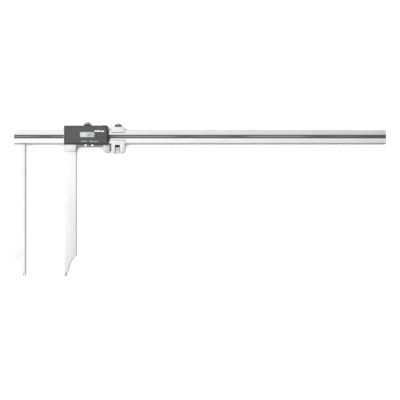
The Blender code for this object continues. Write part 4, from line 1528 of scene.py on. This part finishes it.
@dataclass
class CarriageAssembly:
    """The fine-feed carriage with its clamp screw and knurled nut.

    Attributes:
        lip: the chamfer along the two edges over the beam.
        lips: how far those edges lie above the beam's lower edge.
        wall: the thickness of the nut pocket's side walls, in millimetres.
        pocket_depth: how far behind the front face the painted shade in the pocket begins.
        pocket_painted_shade: the painted shade inside the pocket, as the brightness it keeps.
        clamp_rim: the height of the clamp knob's rim.
        dome: the radius of the clamp knob's cap, as a share of the knob's.
        dome_steps: the number of rings in that cap.
        bore: the radius of the nut's hole.
        bore_edge: how far the hole's edges are broken.
    """

    shop: Workshop
    edge: float = 0.60 * MM
    lip: float = 0.90 * MM
    lips: tuple[float, float] = (8.2 * MM, 21.6 * MM)
    wall: float = 2.0
    pocket_depth: float = 4.0 * MM
    pocket_painted_shade: float = 0.05
    clamp_rim: float = 3.0 * MM
    dome: float = 0.95
    dome_steps: int = 7
    bore: float = 2.3 * MM
    bore_edge: float = 0.3 * MM
    nut_edge: float = 0.7 * MM
    nut_teeth: int = 40
    nut_tooth_depth: float = 0.25 * MM

    def build(self) -> None:
        """Builds and dresses every piece of the carriage."""
        shop = self.shop
        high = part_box("carriage_frame")[1]
        lips = [(shop.beam_low.y + up, high.z, self.lip) for up in self.lips]
        shop.refine(
            "carriage_frame", self._steel(), Body.CARRIAGE, Slot.SLIDER, self.edge, 2, lips
        )
        shop.dress(BRASS, "clamp_shoe")
        cap = [(0.86, 0.0)]
        for step in range(self.dome_steps):
            angle = math.pi / 2 * step / (self.dome_steps - 1)
            cap.append((self.dome * math.cos(angle), math.sin(angle)))
        ThumbScrew(shop, "clamp_screw", Body.CLAMP_SCREW, high.y, self.clamp_rim, cap).build()
        self.build_nut()

    def _steel(self) -> WorkedSteel:
        """The frame's steel, with painted shade inside the nut's pocket."""
        low, high = (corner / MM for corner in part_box("carriage_frame"))
        left, right = low.x + self.wall, high.x - self.wall
        front = high.z - self.pocket_depth / MM
        # Painted shade in the nut's pocket, behind the front face.
        pocket = DarkenedBand(left, right, self.shop.beam_low.y / MM, front, self.pocket_painted_shade)
        tint = (0.92, 0.915, 0.905)
        return WorkedSteel(
            "satin_chromed_steel", tint, None, 0.12, 0.34, 0.07, 0.28, bands=(pocket,)
        )

    def build_nut(self) -> None:
        """The feed nut with its straight knurl."""
        sides = size_of("feed_nut")
        radius, width = sides.z / 2, sides.x
        mouth = self.bore + self.bore_edge
        edge = self.nut_edge
        ring = [
            (mouth, 0.0, 0.0),
            (radius - edge, 0.0, 0.0),
            (radius, edge, 1.0),
            (radius, width - edge, 1.0),
            (radius - edge, width, 0.0),
            (mouth, width, 0.0),
            (self.bore, width - self.bore_edge, 0.0),
            (self.bore, self.bore_edge, 0.0),
            (mouth, 0.0, 0.0),
        ]
        faces = FACES_PER_TOOTH * self.nut_teeth
        nut = self.shop.tools.turn(
            "feed_nut_knurled", ring, NUT_STEEL, faces, self.nut_tooth_depth
        )
        nut.data.transform(Axis.X.upon(left_end("feed_nut")))
        self.shop.hand_over(nut, Body.NUT, Slot.SCREW, "feed_nut")


@dataclass
class SevenSegments:
    """Figures of the display, made of copied bars.

    Attributes:
        reading: what it shows, with a point after the last whole figure.
        height: a figure's height.
        width: a figure's width.
        bar: a bar's thickness.
        ink: how far a bar stands out from the face.
        gap: how much shorter a bar is than its side of the figure.
        pitch: the distance from one figure to the next.
        lean: how far a figure leans, as a share of its height.
        point: the decimal point's length.
        point_after: how far the point stands behind its figure.
    """

    shop: Workshop
    reading: str
    height: float = 5.4 * MM
    width: float = 2.7 * MM
    bar: float = 0.85 * MM
    ink: float = 0.02 * MM
    gap: float = 0.14 * MM
    pitch: float = 4.15 * MM
    lean: float = 0.10
    point: float = 0.8 * MM
    point_after: float = 0.72 * MM

    LIT = dict(zip("0123456789", (
        "abcdef", "bc", "abdeg", "abcdg", "bcfg", "acdfg", "acdefg", "abc", "abcdefg", "abcdfg",
    )))

    def _pattern(self) -> bpy.types.Object:
        """One flat bar of unit length with pointed ends, along X."""
        half = self.bar / 2
        end = 0.5
        tip = self.bar / self.height
        outline = [(-end, 0.0), (-end + tip, -half), (end - tip, -half)]
        outline += [(end, 0.0), (end - tip, half), (-end + tip, half)]
        return new_object("bar", mesh_from(prism(outline, 0.0, self.ink), "bar"))

    def build(self, right: float, low: float, top: float) -> None:
        """Lays the figures on a face, ending at a right-hand edge.

        Args:
            right: the x of the last figure's right-hand side.
            low: the y of the figures' lower side.
            top: the z of the face.
        """
        wide, tall = self.width, self.height
        flat = (wide - self.gap, UNTURNED)
        level = (tall / 2 - self.gap, (0.0, 0.0, math.pi / 2))
        bars = {
            "a": (wide / 2, tall, flat),
            "g": (wide / 2, tall / 2, flat),
            "d": (wide / 2, 0.0, flat),
            "b": (wide, 0.75 * tall, level),
            "c": (wide, 0.25 * tall, level),
            "e": (0.0, 0.25 * tall, level),
            "f": (0.0, 0.75 * tall, level),
        }
        figures = self.reading.replace(".", "")
        last_whole = self.reading.index(".") - 1
        spots = []
        for number, figure in enumerate(figures):
            left = right - wide - self.pitch * (len(figures) - 1 - number)
            for label in self.LIT[figure]:
                across, up, (length, turn) = bars[label]
                place = (left + across + self.lean * up, low + up, top)
                spots.append(Spot(place, turn, (length, 1.0, 1.0)))
            if number == last_whole:
                place = (left + wide + self.point_after, low, top)
                spots.append(Spot(place, stretch=(self.point, 1.0, 1.0)))
        copies = self.shop.tools.copies
        piece = copies.place("display_figures", self._pattern(), spots, SEGMENT_INK)
        self.shop.hand_over(piece, Body.SLIDER, Slot.DISPLAY)


@dataclass(frozen=True)
class RibRow:
    """A row of rounded grip ribs, each a bar with domed ends.

    Attributes:
        name: the row's name.
        finish: what it is finished in.
        count: the number of ribs.
        pitch: the distance from one rib to the next.
        length: a rib's length.
        radius: a rib's radius.
        segments: the number of faces round a rib.
    """

    name: str
    finish: Finish
    count: int
    pitch: float
    length: float
    radius: float
    segments: int

    def build(self, tools: Toolbox, spots: Sequence[Spot]) -> bpy.types.Object:
        """Makes the ribs as one plain mesh; an unturned rib lies along Z."""
        half, radius = self.length / 2, self.radius
        profile = [
            (0.0, -half, 0.0),
            (0.6 * radius, -half + 0.2 * radius, 0.0),
            (radius, -half + radius, 0.0),
            (radius, half - radius, 0.0),
            (0.6 * radius, half - 0.2 * radius, 0.0),
            (0.0, half, 0.0),
        ]
        pattern = tools.turn(f"{self.name}_pattern", profile, self.finish, self.segments)
        piece = tools.copies.place(self.name, pattern, spots, self.finish)
        smooth_by_angle(piece, 60.0)
        return piece


@dataclass
class ReaderAssembly:
    """The reader: housing, display, buttons, battery, data port and boards.

    Attributes:
        figures_inset: how far the last figure stands from the pane's right-hand edge.
        lid_rib_start: how far the first rib lies from the lid's right-hand edge.
        label_size: the height of the words over the buttons.
        label_up: how far those words lie above the beam's lower edge.
        label_sink: how far the face under those words lies behind the cover's front.
        range_size: the height of the printed measuring range.
        range_place: its middle from the slider's datum.
    """

    shop: Workshop
    cover_edge: float = 0.35 * MM
    pane_edge: float = 0.2 * MM
    lid_edge: float = 0.18 * MM
    port_edge: float = 0.15 * MM
    button_edge: float = 0.25 * MM
    figures_inset: float = 2.2 * MM
    lid_ribs: RibRow = RibRow(
        "battery_lid_ribs", LID_PLASTIC, 5, 1.3 * MM, 7.0 * MM, 0.35 * MM, 12
    )
    lid_rib_start: float = 3.2 * MM
    port_ribs: RibRow = RibRow(
        "data_port_cover_ribs", PORT_RUBBER, 9, 1.2 * MM, 2.2 * MM, 0.25 * MM, 10
    )
    label_size: float = 2.9 * MM
    label_weight: float = 0.06 * MM
    label_up: float = 4.5 * MM
    label_sink: float = 0.25 * MM
    range_size: float = 4.4 * MM
    range_weight: float = 0.16 * MM
    range_place: tuple[float, float] = (68.4 * MM, 23.8 * MM)

    def build(self) -> None:
        """Builds and dresses every piece of the reader."""
        shop = self.shop
        shop.refine("reader_cover", HOUSING, Body.SLIDER, Slot.HOUSING, self.cover_edge, 3)
        self.build_display()
        for node, body in (
            ("button_left", Body.BUTTON_LEFT),
            ("button_right", Body.BUTTON_RIGHT),
        ):
            shop.refine(node, BUTTON_PLASTIC, body, Slot.BUTTON, self.button_edge, 3)
        self.build_lid()
        self.build_port()
        self.build_labels()
        self.build_screws()
        shop.dress(LAMINATE, "main_board", "receiver_board")
        shop.dress(PLATE_STEEL, "base_plate")
        shop.dress(DARK_PLASTIC, "board_header", "switch_left", "switch_right", "data_port")
        shop.dress(ZEBRA, "elastomer_lower", "elastomer_upper")
        shop.dress(CELL_STEEL, "battery")
        shop.dress(BRASS, "battery_contact_lower", "battery_contact_side")

    def build_display(self) -> None:
        """The clear pane, and the figures on the display behind it."""
        shop = self.shop
        shop.refine("display_window", CLEAR_PANE, Body.SLIDER, Slot.WINDOW, self.pane_edge)
        shop.dress(DISPLAY_FACE, "lcd_module")
        low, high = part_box("display_window")
        opening = (shop.slider_low.x - shop.beam_low.x) / MM
        figures = SevenSegments(shop, f"{opening:.2f}")
        bottom = (low.y + high.y - figures.height) / 2
        figures.build(high.x - self.figures_inset, bottom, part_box("lcd_module")[1].z)

    def build_lid(self) -> None:
        """The battery lid with its grip ribs, which lie along Y."""
        self.shop.refine("battery_lid", LID_PLASTIC, Body.LID, Slot.HOUSING, self.lid_edge)
        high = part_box("battery_lid")[1]
        middle = middle_of("battery_lid").y
        row = self.lid_ribs
        right = high.x - self.lid_rib_start
        sink = high.z - 0.6 * row.radius
        spots = [
            Spot((right - row.pitch * step, middle, sink), Axis.Y.turn())
            for step in range(row.count)
        ]
        self.shop.hand_over(row.build(self.shop.tools, spots), Body.LID, Slot.HOUSING)

    def build_port(self) -> None:
        """The rubber cover of the data port with its grip ribs."""
        shop = self.shop
        shop.refine("data_port_cover", PORT_RUBBER, Body.PORT_COVER, Slot.RUBBER, self.port_edge)
        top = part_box("data_port_cover")[1].y
        middle = middle_of("data_port_cover")
        row = self.port_ribs
        first = middle.x - row.pitch * (row.count - 1) / 2
        spots = [
            Spot((first + row.pitch * step, top - 0.2 * row.radius, middle.z))
            for step in range(row.count)
        ]
        shop.hand_over(row.build(shop.tools, spots), Body.PORT_COVER, Slot.RUBBER)

    def build_labels(self) -> None:
        """Plain printed words: what each button does, and the measuring range."""
        shop = self.shop
        datum = shop.slider_low
        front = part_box("reader_cover")[1].z + INK_HALF
        for words, node, shift in (
            ("ON OFF", "button_left", -2.6 * MM),
            ("ZERO mm/in", "button_right", 3.2 * MM),
        ):
            across = middle_of(node).x + shift
            place = Vector((across, datum.y + self.label_up, front - self.label_sink))
            label = shop.lettering(
                f"{node}_label", words, self.label_size, place, PALE_INK, self.label_weight
            )
            shop.hand_over(label, Body.SLIDER, Slot.HOUSING)
        across, up = self.range_place
        place = Vector((datum.x + across, datum.y + up, front))
        label = shop.lettering(
            "range_label", "0-500 mm", self.range_size, place, WHITE_INK, self.range_weight
        )
        shop.hand_over(label, Body.SLIDER, Slot.HOUSING)

    def build_screws(self) -> None:
        """The cover's long screws from the back and the base plate's from the front."""
        cover = ("cover_screw_left", "cover_screw_right")
        base = tuple(f"base_screw_{number}" for number in range(1, 5))
        FastenerSet(self.shop, "cover_screws", Body.SLIDER, cover).as_screws(0.53, 0.1)
        FastenerSet(self.shop, "base_screws", Body.SLIDER, base).as_screws(0.47, 0.22, True)


# ---------------------------------------------------------------------------------------------
# Studio
# ---------------------------------------------------------------------------------------------


@dataclass
class Studio:
    """A pale floor, soft light from all round and a camera straight above.

    Attributes:
        height: how far the camera stands above the beam's front face.
        field_width: the width that it sees at that face.
        sensor: the sensor's width in millimetres.
        centre_y: the y that it stands over.
        sky_strength: the sky's brightness in the middle.
        sky_slope: how much darker the sky is on the right.
        sky_greys: its brightness at heights from the horizon, 0, to straight above, 1.
    """

    height: float = 1.40
    field_width: float = 0.7588
    sensor: float = 36.0
    centre_y: float = -0.0019
    floor_size: float = 12.0
    floor_tint: Colour = (0.93, 0.93, 0.93)
    sky_strength: float = 0.93
    sky_slope: float = 0.50
    sky_greys: Sequence[tuple[float, float]] = ((0.0, 0.28), (0.45, 0.60), (0.80, 0.98), (1.0, 1.0))
    overhead_power: float = 60.0
    key_power: float = 4.0

    def build(self) -> None:
        """Builds the whole studio."""
        self.build_camera()
        self.build_floor()
        self.build_world()
        self.build_lights()
        bpy.context.scene.view_settings.view_transform = "Standard"

    def build_camera(self) -> None:
        """The camera looks straight down on the beam's front face."""
        data = bpy.data.cameras.new("camera")
        data.sensor_width = self.sensor
        data.lens = self.sensor * self.height / self.field_width
        camera = new_object("camera", data)
        camera.location = (0.0, self.centre_y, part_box("beam")[1].z + self.height)
        bpy.context.scene.camera = camera

    def build_floor(self) -> None:
        """The pale floor under the object."""
        shape = bmesh.new()
        bmesh.ops.create_grid(shape, x_segments=8, y_segments=8, size=self.floor_size / 2)
        floor = new_object("floor", mesh_from(shape, "floor"))
        shader = Shader("pale_floor_card")
        tooth = shader.noise((2.0, 2.0, 2.0), detail=3.0)
        floor.data.materials.append(shader.close(shader.principled({
            "Base Color": shader.shade(self.floor_tint, 0.99 + tooth * 0.02),
            "Roughness": 0.8 + tooth * 0.1,
            "Specular IOR Level": 0.2,
        })))
        floor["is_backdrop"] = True

    def build_world(self) -> None:
        """A white sky that darkens towards the horizon and a little towards the right."""
        world = bpy.data.worlds.new("studio")
        world.use_nodes = True
        graph = Graph(world.node_tree)
        graph.tree.nodes.clear()
        across, _, up = graph.split(graph.node("ShaderNodeTexCoord").out("Generated"))
        stops = [(place, (grey,) * 3) for place, grey in self.sky_greys]
        sky = graph.node("ShaderNodeValToRGB", {"stops": stops}, {0: up})
        strength = (1 - across * self.sky_slope) * self.sky_strength
        light = graph.node("ShaderNodeBackground", None, {"Color": sky, "Strength": strength})
        graph.node("ShaderNodeOutputWorld", None, {"Surface": light})
        bpy.context.scene.world = world

    def build_lights(self) -> None:
        """A large soft light above and a smaller one from the left, with no glints."""
        for name, place, size, power in (
            ("overhead", (0.0, 0.0, 2.0), 3.0, self.overhead_power),
            ("key", (-1.2, 0.8, 1.6), 1.2, self.key_power),
        ):
            data = bpy.data.lights.new(name, "AREA")
            data.shape = "SQUARE"
            data.size = size
            data.energy = power
            light = new_object(name, data)
            light.location = place
            light.visible_glossy = False
            light.rotation_mode = "QUATERNION"
            light.rotation_quaternion = (-Vector(place)).to_track_quat("-Z", "Y")


def corners() -> list[list[float]]:
    """The shown object's lowest and highest corner, as plain lists."""
    return [list(corner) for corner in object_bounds()]


def main() -> None:
    """Builds the caliper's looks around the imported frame."""
    logging.basicConfig(level=logging.INFO, format="%(name)s: %(message)s")
    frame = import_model()
    shop = Workshop(frame)
    Studio().build()
    for assembly in (BeamAssembly, SliderAssembly, CarriageAssembly, ReaderAssembly):
        assembly(shop).build()


if __name__ == "__main__":
    main()
